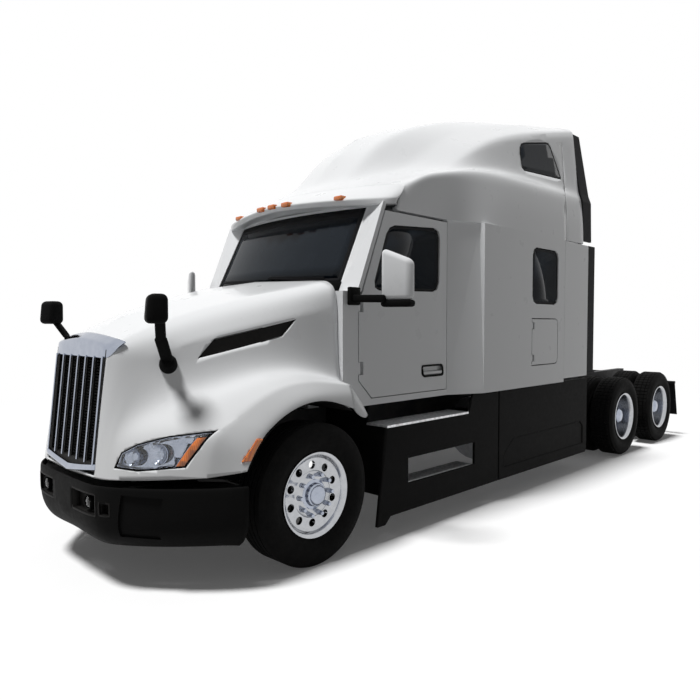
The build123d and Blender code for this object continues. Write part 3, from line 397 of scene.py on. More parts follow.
def carve(bm, outline, flat, reach):
    """Cut an outline out of the faces in reach; gives what was cut out."""
    def spot(a, b):
        return at(a, 0, b) if flat == "side" else Vector((0, a, b))

    through = Vector((0, 1, 0)) if flat == "side" else Vector((1, 0, 0))
    corners = [spot(*p) for p in outline]
    middle = sum(corners, Vector()) / len(corners)
    planes = []
    for start, end in zip(corners, corners[1:] + corners[:1]):
        normal = (end - start).cross(through).normalized()
        if normal.dot(middle - start) > 0:
            normal.negate()
        planes.append((start, normal))
    for start, normal in planes:
        faces = [f for f in bm.faces if reach(f.calc_center_median())]
        edges = {e for f in faces for e in f.edges}
        verts = {v for f in faces for v in f.verts}
        bmesh.ops.bisect_plane(bm, geom=faces + list(edges) + list(verts), dist=1e-5,
                               plane_co=start, plane_no=normal)
    inside = []
    for f in bm.faces:
        c = f.calc_center_median()
        if reach(c) and all((c - start).dot(normal) < 0 for start, normal in planes):
            inside.append(f)
    return take(bm, inside)


def spun(profile, x, steps):
    """Rows of (radius, y) turned about an axle; the profile's ends join if it closes."""
    bm = bmesh.new()
    verts = [bm.verts.new(at(x, y, AXLE_Z + radius)) for radius, y in profile]
    edges = [bm.edges.new(two) for two in zip(verts, verts[1:])]
    bmesh.ops.spin(bm, geom=verts + edges, cent=at(x, 0, AXLE_Z), axis=(0, 1, 0),
                   angle=2 * math.pi, steps=steps, use_merge=True)
    bmesh.ops.remove_doubles(bm, verts=bm.verts, dist=0.0002)
    return bm


def joined(*parts):
    """One mesh from several."""
    out = bmesh.new()
    for bm in parts:
        mesh = bpy.data.meshes.new("part")
        bm.to_mesh(mesh)
        bm.free()
        out.from_mesh(mesh)
        bpy.data.meshes.remove(mesh)
    return out


def turned(profile, centre, direction, steps=32):
    """Rows of (radius, distance) turned about a line from the centre."""
    bm = bmesh.new()
    verts = [bm.verts.new((radius, 0, reach)) for radius, reach in profile]
    edges = [bm.edges.new(two) for two in zip(verts, verts[1:])]
    bmesh.ops.spin(bm, geom=verts + edges, cent=(0, 0, 0), axis=(0, 0, 1), angle=2 * math.pi, steps=steps,
                   use_merge=True)
    bmesh.ops.remove_doubles(bm, verts=bm.verts, dist=0.0002)
    aim = Vector(direction).to_track_quat("Z", "Y").to_matrix().to_4x4()
    bmesh.ops.transform(bm, matrix=Matrix.Translation(at(*centre)) @ aim, verts=bm.verts)
    return bm


def form(corner, edge, segments=4):
    """Six-sided form with rounded edges; a function of three signs gives its corners."""
    bm = bmesh.new()
    bmesh.ops.create_cube(bm, size=2)
    for v in bm.verts:
        v.co = at(*corner(*(round(c) for c in v.co)))
    bmesh.ops.bevel(bm, geom=bm.edges[:], offset=edge, affect="EDGES", segments=segments, profile=0.5, material=-1)
    return bm


def strut(start, end, width, depth, edge):
    """Bar of a rounded section between two points."""
    bm = bmesh.new()
    low, high = at(*start), at(*end)
    aim = (high - low).to_track_quat("Z", "Y").to_matrix().to_4x4()
    size = Matrix.Diagonal((width, depth, (high - low).length, 1))
    bmesh.ops.create_cube(bm, size=1, matrix=Matrix.Translation((low + high) / 2) @ aim @ size)
    bmesh.ops.bevel(bm, geom=bm.edges[:], offset=edge, affect="EDGES", segments=3, profile=0.5, material=-1)
    return bm


def pane(corners, y, cut, band):
    """Flat pane in side view with round corners, and the band along its edge."""
    bm = bmesh.new()
    bm.faces.new([bm.verts.new(at(x, y, z)) for x, z in corners])
    bmesh.ops.bevel(bm, geom=bm.verts[:], offset=cut, affect="VERTICES", segments=5, profile=0.5, material=-1)
    return banded(outward(bm, (corners[0][0], 0, corners[0][1])), band)


def over(bm, side):
    """The mesh, or its mirror image on the far side."""
    if side < 0:
        bmesh.ops.scale(bm, vec=(1, -1, 1), verts=bm.verts)
        bmesh.ops.reverse_faces(bm, faces=bm.faces)
    return bm


def block(x, y, z, edge=0.0, segments=2):
    """Box from (low, high) pairs with rounded edges."""
    bm = bmesh.new()
    middle = at(sum(x) / 2, sum(y) / 2, sum(z) / 2)
    size = Matrix.Diagonal((abs(x[1] - x[0]), abs(y[1] - y[0]), abs(z[1] - z[0]), 1))
    bmesh.ops.create_cube(bm, size=1, matrix=Matrix.Translation(middle) @ size)
    if edge:
        bmesh.ops.bevel(bm, geom=bm.edges[:], offset=edge, affect="EDGES", segments=segments,
                        profile=0.5, material=-1)
    return bm


# Tyres
RIB_TREAD = [(0.498, -0.118), (0.500, -0.112), (0.500, -0.078), (0.489, -0.076), (0.489, -0.067), (0.500, -0.065),
             (0.500, -0.028), (0.489, -0.026), (0.489, -0.017), (0.500, -0.015)]
SIDEWALL = [(0.2915, 0.104), (0.2925, 0.113), (0.304, 0.1165), (0.318, 0.122), (0.322, 0.1255), (0.330, 0.1265),
            (0.355, 0.137), (0.385, 0.1445), (0.408, 0.145), (0.432, 0.1435), (0.452, 0.140), (0.456, 0.1375),
            (0.470, 0.134), (0.484, 0.128)]


def tyre(mid_y, width, x, lugs):
    slim = (width - 0.29) / 2
    side = [(radius, y + slim) for radius, y in SIDEWALL]
    if lugs:
        tread = [(0.487, 0.118 + slim), (0.488, 0.108 + slim), (0.488, 0.058), (0.488, 0.0)]
    else:
        tread = [(radius, -y + slim * (1 if y < -0.1 else 0)) for radius, y in RIB_TREAD]
    half = side + tread
    profile = [(radius, mid_y + y) for radius, y in half]
    profile += [(radius, mid_y - y) for radius, y in reversed(half) if y > 0.001]
    bm = spun(profile, x, 60 if lugs else 96)
    if lugs:
        blocks = []
        for f in bm.faces:
            c = f.calc_center_median()
            reach = math.hypot(c.x - AXLE_X - x, c.z - AXLE_Z)
            if reach > 0.4855 and abs(c.y - mid_y) < 0.109 + slim:
                blocks.append(f)
        bmesh.ops.recalc_face_normals(bm, faces=bm.faces)
        bmesh.ops.inset_individual(bm, faces=blocks, thickness=0.0045, depth=0.012, use_even_offset=True)
    return bm


for name, side in SIDES:
    body = over(tyre(FRONT_Y, 0.29, 0, False), side)
    piece(f"front_tyre_{name}_tread", body, f"front_wheel_{name}", "tyre", stands_for=[f"front_tyre_{name}"])
    for number, x in enumerate(DRIVE_X, start=1):
        twins = joined(*(tyre(y, 0.275, x, True) for y in reversed(TWIN_Y)))
        piece(f"drive{number}_tyres_{name}_tread", over(twins, side), f"drive{number}_{name}", "tyre",
              stands_for=[f"drive{number}_tyres_{name}"])

# Wheels
FRONT_RIM = [(0.046, 0.050), (0.130, 0.050), (0.255, 0.046), (0.262, -0.100), (0.2885, -0.112), (0.2885, 0.112),
             (0.2995, 0.1165), (0.3010, 0.1215), (0.2985, 0.1265), (0.2920, 0.1265), (0.2800, 0.1200), (0.2700, 0.1090),
             (0.2640, 0.0920), (0.2550, 0.0800), (0.2400, 0.0745), (0.1900, 0.0760), (0.1660, 0.0800),
             (0.1580, 0.0900), (0.1480, 0.0940), (0.046, 0.0940), (0.046, 0.050)]
TWIN_RIM = [(0.050, -0.020), (0.130, -0.022), (0.258, -0.020), (0.262, -0.290), (0.2885, -0.298), (0.2885, 0.284),
            (0.2995, 0.2885), (0.3010, 0.2930), (0.2985, 0.2985), (0.2920, 0.2985), (0.2800, 0.2920), (0.2700, 0.2800),
            (0.2640, 0.2500), (0.2620, 0.0500), (0.2550, 0.0300), (0.2400, 0.0210), (0.1900, 0.0220), (0.1660, 0.0260),
            (0.1580, 0.0720), (0.1480, 0.0780), (0.050, 0.0780), (0.050, -0.020)]


def hand_holes(x, y):
    """Round cutters through the wheel's disc."""
    bm = bmesh.new()
    for i in range(STUDS):
        turn = Matrix.Rotation(2 * math.pi * i / STUDS, 4, "Y")
        spot = at(x, y, AXLE_Z) + turn @ Vector((0, 0, 0.205))
        upright = Matrix.Translation(spot) @ Matrix.Rotation(math.pi / 2, 4, "X")
        bmesh.ops.create_cone(bm, cap_ends=True, segments=24, radius1=0.029, radius2=0.029, depth=0.2, matrix=upright)
    return bm


def wheel(profile, mid_y, x, disc_y):
    bm = spun([(radius, mid_y + y) for radius, y in profile], x, 80)
    bmesh.ops.recalc_face_normals(bm, faces=bm.faces)
    mesh = bpy.data.meshes.new("cutter")
    holes = hand_holes(x, mid_y + disc_y)
    holes.to_mesh(mesh)
    holes.free()
    cutter = bpy.data.objects.new("cutter", mesh)
    bpy.context.collection.objects.link(cutter)
    out = worked(bm, ("BOOLEAN", {"operation": "DIFFERENCE", "solver": "EXACT", "object": cutter}))
    bpy.data.objects.remove(cutter)
    return out


def hub_chrome(mid_y, x, face_y, cap):
    """Hub cap and lug nut covers."""
    out = [spun([(radius, mid_y + y) for radius, y in cap], x, 48)]
    nuts = bmesh.new()
    for i in range(STUDS):
        turn = Matrix.Rotation(2 * math.pi * (i + 0.5) / STUDS, 4, "Y")
        spot = at(x, mid_y + face_y + 0.022, AXLE_Z) + turn @ Vector((0, 0, 0.1425))
        upright = Matrix.Translation(spot) @ Matrix.Rotation(-math.pi / 2, 4, "X")
        bmesh.ops.create_cone(nuts, cap_ends=True, segments=12, radius1=0.0195, radius2=0.0135, depth=0.046,
                              matrix=upright)
    rims = [e for e in nuts.edges if e.calc_face_angle(0) > 1.0]
    bmesh.ops.bevel(nuts, geom=rims, offset=0.003, affect="EDGES", segments=2, profile=0.5, material=-1)
    out.append(nuts)
    return joined(*out)


FRONT_CAP = [(0.0, 0.1648), (0.020, 0.1645), (0.040, 0.1620), (0.056, 0.1560), (0.066, 0.1460), (0.070, 0.1330),
             (0.076, 0.1300), (0.080, 0.1230), (0.084, 0.1000), (0.100, 0.0985), (0.106, 0.0945)]
TWIN_CAP = [(0.0, 0.2575), (0.030, 0.2570), (0.060, 0.2530), (0.076, 0.2440), (0.083, 0.2300), (0.090, 0.2260),
            (0.092, 0.2150), (0.094, 0.0850), (0.104, 0.0830), (0.108, 0.0785)]
for name, side in SIDES:
    rim = over(wheel(FRONT_RIM, FRONT_Y, 0, 0.06), side)
    piece(f"front_rim_{name}", rim, f"front_wheel_{name}", "aluminium", stands_for=[f"front_wheel_{name}"])
    piece(f"front_hub_{name}", over(hub_chrome(FRONT_Y, 0, 0.094, FRONT_CAP), side), f"front_wheel_{name}", "chrome")
    for number, x in enumerate(DRIVE_X, start=1):
        rim = over(wheel(TWIN_RIM, HUB_Y, x, 0.0), side)
        piece(f"drive{number}_rim_{name}", rim, f"drive{number}_{name}", "aluminium",
              stands_for=[f"drive{number}_wheel_{name}"])
        piece(f"drive{number}_hub_{name}", over(hub_chrome(HUB_Y, x, 0.078, TWIN_CAP), side),
              f"drive{number}_{name}", "chrome")

# Hood
HOOD = (
    # from the front edge to the cowl; each row runs centre, grille edge, shoulder, crease, valley, crest,
    # outer edge, side, arch lip
    ((1.250, 0, 0.700), (1.245, 0.402, 0.712), (1.238, 0.450, 0.713), (1.225, 0.500, 0.715), (1.208, 0.550, 0.718),
     (1.075, 0.760, 0.725), (0.820, 1.030, 0.745), (0.640, 1.140, 0.765), (0.606, 1.155, 0.772)),
    ((1.225, 0, 0.960), (1.218, 0.402, 0.960), (1.210, 0.450, 0.960), (1.190, 0.500, 0.960), (1.160, 0.545, 0.965),
     (1.035, 0.790, 0.985), (0.800, 1.040, 0.960), (0.610, 1.145, 0.880), (0.570, 1.155, 0.850)),
    ((1.195, 0, 1.230), (1.188, 0.402, 1.230), (1.165, 0.455, 1.225), (1.100, 0.515, 1.190), (1.040, 0.575, 1.095),
     (0.920, 0.820, 1.085), (0.740, 1.050, 1.030), (0.560, 1.148, 0.950), (0.520, 1.155, 0.922)),
    ((1.152, 0, 1.585), (1.148, 0.402, 1.545), (1.085, 0.475, 1.520), (0.985, 0.540, 1.440), (0.860, 0.650, 1.205),
     (0.760, 0.870, 1.185), (0.630, 1.065, 1.090), (0.490, 1.150, 1.020), (0.455, 1.155, 0.992)),
    ((0.860, 0, 1.742), (0.800, 0.455, 1.715), (0.775, 0.590, 1.672), (0.740, 0.680, 1.570), (0.590, 0.785, 1.300),
     (0.540, 0.940, 1.275), (0.440, 1.080, 1.215), (0.345, 1.150, 1.125), (0.322, 1.155, 1.088)),
    ((0.450, 0, 1.868), (0.420, 0.590, 1.838), (0.412, 0.742, 1.788), (0.400, 0.822, 1.656), (0.330, 0.878, 1.382),
     (0.290, 1.000, 1.345), (0.210, 1.085, 1.288), (0.140, 1.150, 1.205), (0.120, 1.155, 1.160)),
    ((0.050, 0, 1.960), (0.040, 0.730, 1.930), (0.036, 0.875, 1.880), (0.030, 0.930, 1.742), (0.000, 0.955, 1.395),
     (-0.020, 1.045, 1.350), (-0.055, 1.105, 1.290), (-0.095, 1.150, 1.205), (-0.105, 1.155, 1.163)),
    ((-0.335, 0, 2.048), (-0.335, 0.860, 2.018), (-0.335, 0.972, 1.978), (-0.335, 0.988, 1.812),
     (-0.335, 1.000, 1.262), (-0.340, 1.065, 1.262), (-0.345, 1.118, 1.245), (-0.350, 1.150, 1.175),
     (-0.355, 1.155, 1.070)),
)


def whole(rows, middle, columns=None, across=None, levels=3):
    """Smooth open sheet over both sides of the vehicle."""
    return outward(worked(both_sides(sheet(rows, columns, across)), subdivided(levels)), middle)


hood = whole(HOOD, (0.3, 0, 0.9), {1: 0.75, 3: 0.85, 6: 0.6}, {3: 0.5})
LAMP = [(0.558, 0.791), (0.700, 0.778), (0.935, 0.808), (0.993, 0.921), (1.037, 1.032), (0.830, 0.998),
        (0.672, 0.944), (0.586, 0.889)]
AMBER = [(0.880, 0.800), (0.952, 0.800), (1.018, 0.992), (0.966, 0.988)]
BOWLS = ((1.105, 0.655, 0.862, 0.056), (1.008, 0.795, 0.885, 0.064))
VENT = [(0.675, 1.463), (0.570, 1.588), (0.010, 1.722), (0.120, 1.605)]
GRILLE = [(-0.402, 0.725), (0.402, 0.725), (0.402, 1.500), (-0.402, 1.500)]
ARCH_LAMP = [(0.634, 0.832), (0.575, 0.834), (0.459, 0.952), (0.526, 0.965)]
rims, lenses, ambers, dishes, bowls, domes, vents, arch_lamps = [], [], [], [], [], [], [], []
for name, side in SIDES:
    lens = carve(hood, [(y * side, z) for y, z in LAMP], "front",
                 lambda c: c.y * side > 0.45 and c.x > AXLE_X + 0.55 and c.z < 1.2)
    rims.append(lens)
    lens = carve(lens, [(y * side, z) for y, z in shrunk(LAMP, 0.012)], "front", lambda c: True)
    ambers.append(carve(lens, [(y * side, z) for y, z in AMBER], "front", lambda c: True))
    dishes.append(sunk(lens.copy(), (-0.045, -0.02 * side, 0)))
    lenses.append(lens)
    for x, y, z, radius in BOWLS:
        ahead = (0.86, 0.45 * side, 0.12)
        bowls.append(turned([(0.0, -0.034), (radius * 0.4, -0.031), (radius * 0.75, -0.018), (radius * 0.92, 0.0),
                             (radius, 0.003), (radius * 1.05, 0.0)], (x, y * side, z), ahead))
        domes.append(turned([(0.0, -0.002), (0.013, -0.005), (0.022, -0.013), (0.025, -0.03)],
                            (x, y * side, z), ahead, 20))
    vents.append(sunk(carve(hood, VENT, "side", lambda c: c.y * side > 0.5 and -0.15 < c.x - AXLE_X < 0.85
                            and 1.38 < c.z < 1.8), (0, -0.016 * side, -0.003)))
    arch_lamps.append(carve(hood, ARCH_LAMP, "side", lambda c: c.y * side > 0.98 and 0.4 < c.x - AXLE_X < 0.72))
carve(hood, GRILLE, "front", lambda c: c.x > AXLE_X + 1.05 and abs(c.y) < 0.6)
piece("hood_skin", hood, "hood", "white_paint", stands_for=["hood"], steps=[thick(0.02)], angle=50, closed=False)
crown = whole([[(1.168, 0, 1.470), (1.168, 0.200, 1.470), (1.166, 0.380, 1.470), (1.150, 0.415, 1.474),
                (1.134, 0.428, 1.488)],
               [(1.166, 0, 1.594), (1.164, 0.200, 1.582), (1.160, 0.390, 1.558), (1.128, 0.440, 1.550),
                (1.098, 0.468, 1.545)],
               [(1.096, 0, 1.634), (1.096, 0.200, 1.624), (1.092, 0.390, 1.600), (1.074, 0.455, 1.586),
                (1.066, 0.482, 1.578)]], (0.7, 0, 1.3), None, {1: 0.5})
piece("hood_crown", crown, "hood", "chrome", steps=[thick(0.016)], closed=False)
piece("lamp_rims", joined(*rims), "hood", "black_plastic", steps=[thick(0.03)], closed=False)
piece("lamp_lenses", joined(*lenses), "hood", "lamp_clear", stands_for=["hood_lamps"], steps=[thick(0.004)],
      closed=False)
piece("lamp_turn_lenses", joined(*ambers), "hood", "lamp_amber", steps=[thick(0.02)], closed=False)
piece("lamp_dishes", joined(*dishes), "hood", "chrome", steps=[thick(0.002)], closed=False)
piece("lamp_bowls", joined(*bowls), "hood", "chrome", steps=[thick(0.002)], closed=False)
piece("lamp_domes", joined(*domes), "hood", "lamp_clear", closed=False)
piece("hood_vents", joined(*vents), "hood", "dark_mesh", stands_for=["hood_mesh"], steps=[thick(0.004)],
      closed=False)
piece("arch_lamps", joined(*arch_lamps), "hood", "lamp_amber", steps=[thick(0.008, 0.4)], closed=False)


def nose_x(z):
    return 1.240 - 0.109 * (z - 0.72)


slats = [block((nose_x(z) - 0.040, nose_x(z) - 0.018), (-0.347, 0.347), (z, z + 0.007))
         for z in [0.798 + 0.0195 * i for i in range(35)]]
piece("grille_slats", joined(*slats), "hood", "dark_mesh")
caps = [strut((nose_x(0.79) + 0.010, y, 0.79), (nose_x(1.48) + 0.010, y, 1.48), 0.012, 0.012, 0.004)
        for y in (-0.375, -0.25, -0.125, 0, 0.125, 0.25, 0.375)]
piece("grille_bars", joined(*caps), "hood", "chrome")
# Dark sheet behind the slats: painted shade inside the grille, in front of the radiator.
shade_sheet = sheet([[(nose_x(z) - 0.046, y, z) for y in (-0.35, 0.35)] for z in (0.79, 1.13, 1.48)])
piece("grille_shade_sheet", outward(shade_sheet, (0.5, 0, 1.1)), "hood", "dark_mesh", steps=[thick(0.004)], closed=False)
sill = whole([[(1.260, 0, 0.706), (1.258, 0.2, 0.734), (1.252, 0.385, 0.760), (1.243, 0.408, 0.763)],
              [(1.263, 0, 0.720), (1.261, 0.2, 0.748), (1.255, 0.385, 0.774), (1.246, 0.406, 0.777)],
              [(1.252, 0, 0.750), (1.250, 0.2, 0.770), (1.244, 0.385, 0.796), (1.238, 0.402, 0.798)]],
             (0.5, 0, 0.75), levels=2)
piece("grille_sill", sill, "hood", "chrome", steps=[thick(0.012)], closed=False)
arch = [math.radians(turn) for turn in range(-31, 66, 8)]
ARCH_R = 0.655
liners = [over(outward(sheet([[(ARCH_R * math.sin(a), y, AXLE_Z + ARCH_R * math.cos(a)) for y in (0.62, 0.9, 1.148)]
                              for a in arch]), (0, 0.9, AXLE_Z)), side) for name, side in SIDES]
piece("arch_liners", joined(*liners), "hood", "black_plastic", steps=[thick(0.006)], closed=False)

tails = []
for name, side in SIDES:
    tail = sheet([[(-0.330, 1.062, 1.262), (-0.340, 1.118, 1.245), (-0.345, 1.150, 1.178), (-0.350, 1.155, 1.072)],
                  [(-0.400, 1.056, 1.190), (-0.405, 1.118, 1.170), (-0.400, 1.150, 1.110), (-0.385, 1.155, 1.030)],
                  [(-0.480, 1.056, 1.105), (-0.480, 1.118, 1.090), (-0.470, 1.148, 1.045), (-0.440, 1.152, 1.000)],
                  [(-0.525, 1.060, 1.030), (-0.530, 1.110, 1.020), (-0.520, 1.138, 1.005), (-0.480, 1.148, 0.992)]],
                 {1: 0.6})
    tails.append(over(worked(outward(tail, (-0.3, 0.9, 0.9)), subdivided(2)), side))
piece("fender_tails", joined(*tails), "hood", "white_paint", steps=[thick(0.012)], angle=50, closed=False)

# Bumper
BUMPER_PLAN = ((1.290, 0), (1.290, 0.25), (1.284, 0.40), (1.262, 0.50), (1.215, 0.59), (1.150, 0.69), (1.040, 0.83),
               (0.880, 0.985), (0.720, 1.112), (0.600, 1.165))
BUMPER_ROWS = ((0.277, 0.110), (0.300, 0.075), (0.337, 0.042), (0.430, 0.0), (0.600, 0.0), (0.660, 0.001),
               (0.677, 0.006), (0.677, 0.014))


def bumper_row(z, draw):
    row = []
    for x, y in BUMPER_PLAN:
        slant = min(1, y / 0.74)
        row.append((x - draw * (1.15 - 0.45 * slant) if x > 0.6 else x, y - draw * slant, z))
    return row


bumper = whole([bumper_row(*row) for row in BUMPER_ROWS], (0.4, 0, 0.45), levels=2)
POCKETS = (([(0.170, 0.490), (0.460, 0.490), (0.460, 0.615), (0.170, 0.615)], (0.05, 0)),
           ([(0.500, 0.500), (0.565, 0.500), (0.565, 0.570), (0.500, 0.570)], (0.05, 0.02)),
           ([(0.600, 0.365), (0.800, 0.352), (0.850, 0.620), (0.640, 0.635)], (0.012, 0.010)))
pockets = []
panels = []
fog_lenses = []
fog_rings = []
for name, side in SIDES:
    for outline, (back, across) in POCKETS:
        patch = carve(bumper, [(y * side, z) for y, z in outline], "front",
                      lambda c: c.y * side > 0.1 and c.x > AXLE_X + 0.7)
        (pockets if back > 0.02 else panels).append(sunk(patch, (-back, -across * side, 0)))
    spot = (1.262, 0.35 * side, 0.552)
    fog_lenses.append(turned([(0.0, 0.010), (0.022, 0.008), (0.036, 0.001), (0.040, -0.012)], spot, (1, 0, 0)))
    fog_rings.append(turned([(0.040, -0.02), (0.041, 0.006), (0.046, 0.009), (0.052, 0.004), (0.054, -0.02)],
                            spot, (1, 0, 0)))
bumper = joined(bumper, *panels)
bmesh.ops.remove_doubles(bumper, verts=bumper.verts, dist=0.0004)
piece("bumper_skin", bumper, "chassis", "black_plastic", stands_for=["front_bumper"], steps=[thick(0.012)],
      closed=False)
piece("bumper_pockets", joined(*pockets), "chassis", "dark_mesh", steps=[thick(0.012)], closed=False)
piece("fog_lenses", joined(*fog_lenses), "chassis", "lamp_clear", closed=False)
piece("fog_rings", joined(*fog_rings), "chassis", "black_plastic", closed=False)

covers = [over(outward(sheet([[(1.180, 0.580, 0.664), (1.110, 0.690, 0.664), (0.850, 0.960, 0.664),
                               (0.605, 1.130, 0.664)],
                              [(0.900, 0.560, 0.658), (0.820, 0.640, 0.658), (0.680, 0.800, 0.658),
                               (0.590, 0.900, 0.658)]]), (0.8, 0.8, 0.2)), side) for name, side in SIDES]
piece("bumper_cover", joined(*covers), "chassis", "black_plastic", steps=[thick(0.006)], closed=False)

# Roof and visor
ROOF = (
    # from the visor over the valley to the rear edge; each row runs centre, ridge, top, top edge, foot of the
    # upper side, ledge, lower side, seam, flange
    ((-0.790, 0, 2.835), (-0.810, 0.350, 2.833), (-0.880, 0.620, 2.828), (-0.950, 0.840, 2.824),
     (-1.000, 0.950, 2.818), (-1.030, 1.020, 2.800), (-0.980, 1.035, 2.700), (-0.960, 1.040, 2.605),
     (-0.960, 0.990, 2.600)),
    ((-1.020, 0, 2.962), (-1.080, 0.360, 2.975), (-1.210, 0.600, 2.985), (-1.400, 0.840, 3.005),
     (-1.400, 0.970, 2.995), (-1.300, 1.070, 2.950), (-1.250, 1.055, 2.770), (-1.250, 1.040, 2.605),
     (-1.250, 0.990, 2.600)),
    ((-1.260, 0, 3.265), (-1.330, 0.370, 3.260), (-1.590, 0.640, 3.135), (-1.800, 0.900, 3.110),
     (-1.800, 1.000, 3.080), (-1.740, 1.095, 3.052), (-1.680, 1.085, 2.820), (-1.660, 1.045, 2.605),
     (-1.660, 0.995, 2.600)),
    ((-1.550, 0, 3.500), (-1.620, 0.380, 3.490), (-1.910, 0.650, 3.395), (-2.100, 0.945, 3.300),
     (-2.090, 1.015, 3.145), (-2.070, 1.125, 3.100), (-2.050, 1.165, 2.830), (-2.020, 1.200, 2.605),
     (-2.020, 1.150, 2.600)),
    ((-2.020, 0, 3.695), (-2.080, 0.400, 3.680), (-2.350, 0.660, 3.620), (-2.500, 0.965, 3.510),
     (-2.500, 1.035, 3.190), (-2.480, 1.155, 3.112), (-2.430, 1.190, 2.840), (-2.400, 1.200, 2.605),
     (-2.400, 1.150, 2.600)),
    ((-2.850, 0, 3.935), (-2.880, 0.450, 3.912), (-2.980, 0.720, 3.835), (-3.050, 0.980, 3.680),
     (-3.050, 1.070, 3.205), (-3.050, 1.165, 3.105), (-3.050, 1.195, 2.840), (-3.050, 1.200, 2.605),
     (-3.050, 1.150, 2.600)),
    ((-4.060, 0, 4.043), (-4.060, 0.500, 4.022), (-4.060, 0.850, 3.985), (-4.060, 1.055, 3.910),
     (-4.060, 1.130, 3.200), (-4.060, 1.168, 3.100), (-4.060, 1.195, 2.840), (-4.060, 1.200, 2.605),
     (-4.060, 1.150, 2.600)),
)
ROOF_BACK = tuple(tuple((-4.056, y * share, z - 0.2 * (1 - share) * (z - 2.6)) for x, y, z in ROOF[-1])
                  for share in (0.96, 0.5, 0.0))
roof = whole(ROOF + ROOF_BACK, (-2.6, 0, 2.7), {1: 0.45, 2: 0.45, 3: 0.5, 4: 0.35, 5: 0.3, 7: 1.0},
             {1: 0.3, 6: 0.8})
ROOF_WINDOW = [(-2.955, 3.262), (-2.920, 3.290), (-2.925, 3.440), (-2.945, 3.510), (-2.985, 3.555), (-3.040, 3.578),
               (-3.460, 3.662), (-3.510, 3.658), (-3.545, 3.625), (-3.690, 3.310), (-3.680, 3.285)]
ROOF_SEAM = [(-3.615, 2.606), (-3.660, 3.100), (-3.735, 3.200), (-3.785, 3.700)]
roof_panes = []
roof_bands = []
for name, side in SIDES:
    band = carve(roof, ROOF_WINDOW, "side", lambda c: c.y * side > 0.5 and
                 -3.85 < c.x - AXLE_X < -2.7 and 3.1 < c.z < 3.85)
    roof_panes.append(carve(band, shrunk(ROOF_WINDOW, 0.022), "side", lambda c: True))
    roof_bands.append(band)
    for (x, low), (end, high) in zip(ROOF_SEAM, ROOF_SEAM[1:]):
        slit = [(x, low), (x - 0.006, low), (end - 0.006, high), (end, high)]
        roof_bands.append(carve(roof, slit, "side", lambda c: c.y * side > 0.8 and -3.95 < c.x - AXLE_X < -3.4))
piece("roof_skin", roof, "chassis", "white_paint", stands_for=["roof_cap"], steps=[thick(0.03)], angle=50,
      closed=False)
VISOR = (
    # from the rear of the underside round the edge to the roof
    ((-0.800, 0, 2.665), (-0.840, 0.350, 2.662), (-0.880, 0.770, 2.645), (-0.950, 0.990, 2.640),
     (-0.970, 1.030, 2.652)),
    ((-0.530, 0, 2.660), (-0.575, 0.350, 2.660), (-0.690, 0.795, 2.634), (-0.792, 1.052, 2.628),
     (-0.900, 1.078, 2.642)),
    ((-0.505, 0, 2.700), (-0.555, 0.350, 2.700), (-0.670, 0.805, 2.684), (-0.800, 1.068, 2.680),
     (-0.925, 1.082, 2.690)),
    ((-0.560, 0, 2.742), (-0.610, 0.350, 2.742), (-0.745, 0.795, 2.737), (-0.885, 1.058, 2.737),
     (-0.985, 1.076, 2.737)),
    ((-0.800, 0, 2.850), (-0.820, 0.350, 2.848), (-0.900, 0.720, 2.840), (-1.005, 0.985, 2.834),
     (-1.055, 1.050, 2.815)),
)
visor = whole(VISOR, (-0.75, 0, 2.70), None, {1: 0.6, 2: 0.4})
piece("visor_skin", visor, "chassis", "white_paint", stands_for=["sun_visor"], steps=[thick(0.012)], angle=50,
      closed=False)

roof_lamps = []
for x, y, z in ((-0.528, 0, 2.690), (-0.540, 0.17, 2.690), (-0.540, -0.17, 2.690), (-0.672, 0.68, 2.690),
                (-0.672, -0.68, 2.690)):
    roof_lamps.append(block((x - 0.035, x + 0.035), (y - 0.046, y + 0.046), (z - 0.006, z + 0.034), 0.012, 3))
seals = [over(block((-1.690, -1.000), (0.955, 0.980), (2.575, 2.650), 0.004), side) for name, side in SIDES]
piece("roof_seals", joined(*seals), "chassis", "rubber")
piece("roof_lamps", joined(*roof_lamps), "chassis", "lamp_amber", stands_for=["marker_lamps"])


# Glass
def screen(share, z, back):
    """Point of the windshield's curve, from the middle to the side."""
    rise = (z - 1.935) / 0.72
    bow = -0.355 - 0.357 * rise
    corner = -0.474 - 0.359 * rise
    y = share * (0.850 - 0.012 * (z - 2.012) / 0.62)
    return (bow + (corner - bow) * (y / 0.856) ** 2 - back, y, z)


windshield = outward(both_sides(sheet([[screen(share / 8, z, 0.008) for share in range(9)]
                                       for z in (2.012, 2.16, 2.32, 2.48, 2.632)])), (-1.5, 0, 2.3))
border = windshield
windshield = carve(border, [(-0.805, 2.050), (0.805, 2.050), (0.792, 2.560), (-0.792, 2.560)], "front",
                   lambda c: True)
piece("windshield_border", border, "chassis", "rubber", steps=[thick(0.008)], closed=False)
piece("windshield_glass", windshield, "chassis", "glass", stands_for=["fixed_glass"], steps=[thick(0.007)],
      closed=False)
DOOR_WINDOW = [(-0.665, 1.950), (-0.855, 2.475), (-1.540, 2.522), (-1.530, 1.970)]
SLEEPER_WINDOW = [(-3.444, 1.897), (-2.884, 1.897), (-2.884, 2.470), (-3.444, 2.470)]
for name, side in SIDES:
    band, glass = pane(DOOR_WINDOW, 1.026, 0.085, 0.026)
    piece(f"door_gasket_{name}", over(band, side), f"door_{name}", "rubber", steps=[thick(0.014)], closed=False)
    piece(f"door_pane_{name}", over(glass, side), f"door_{name}", "glass", stands_for=[f"door_glass_{name}"],
          steps=[thick(0.006)], closed=False)
    band, glass = pane(SLEEPER_WINDOW, 1.188, 0.085, 0.026)
    roof_bands.append(over(band, side))
    roof_panes.append(over(glass, side))
piece("sleeper_gaskets", joined(*roof_bands), "chassis", "rubber", steps=[thick(0.012)], closed=False)
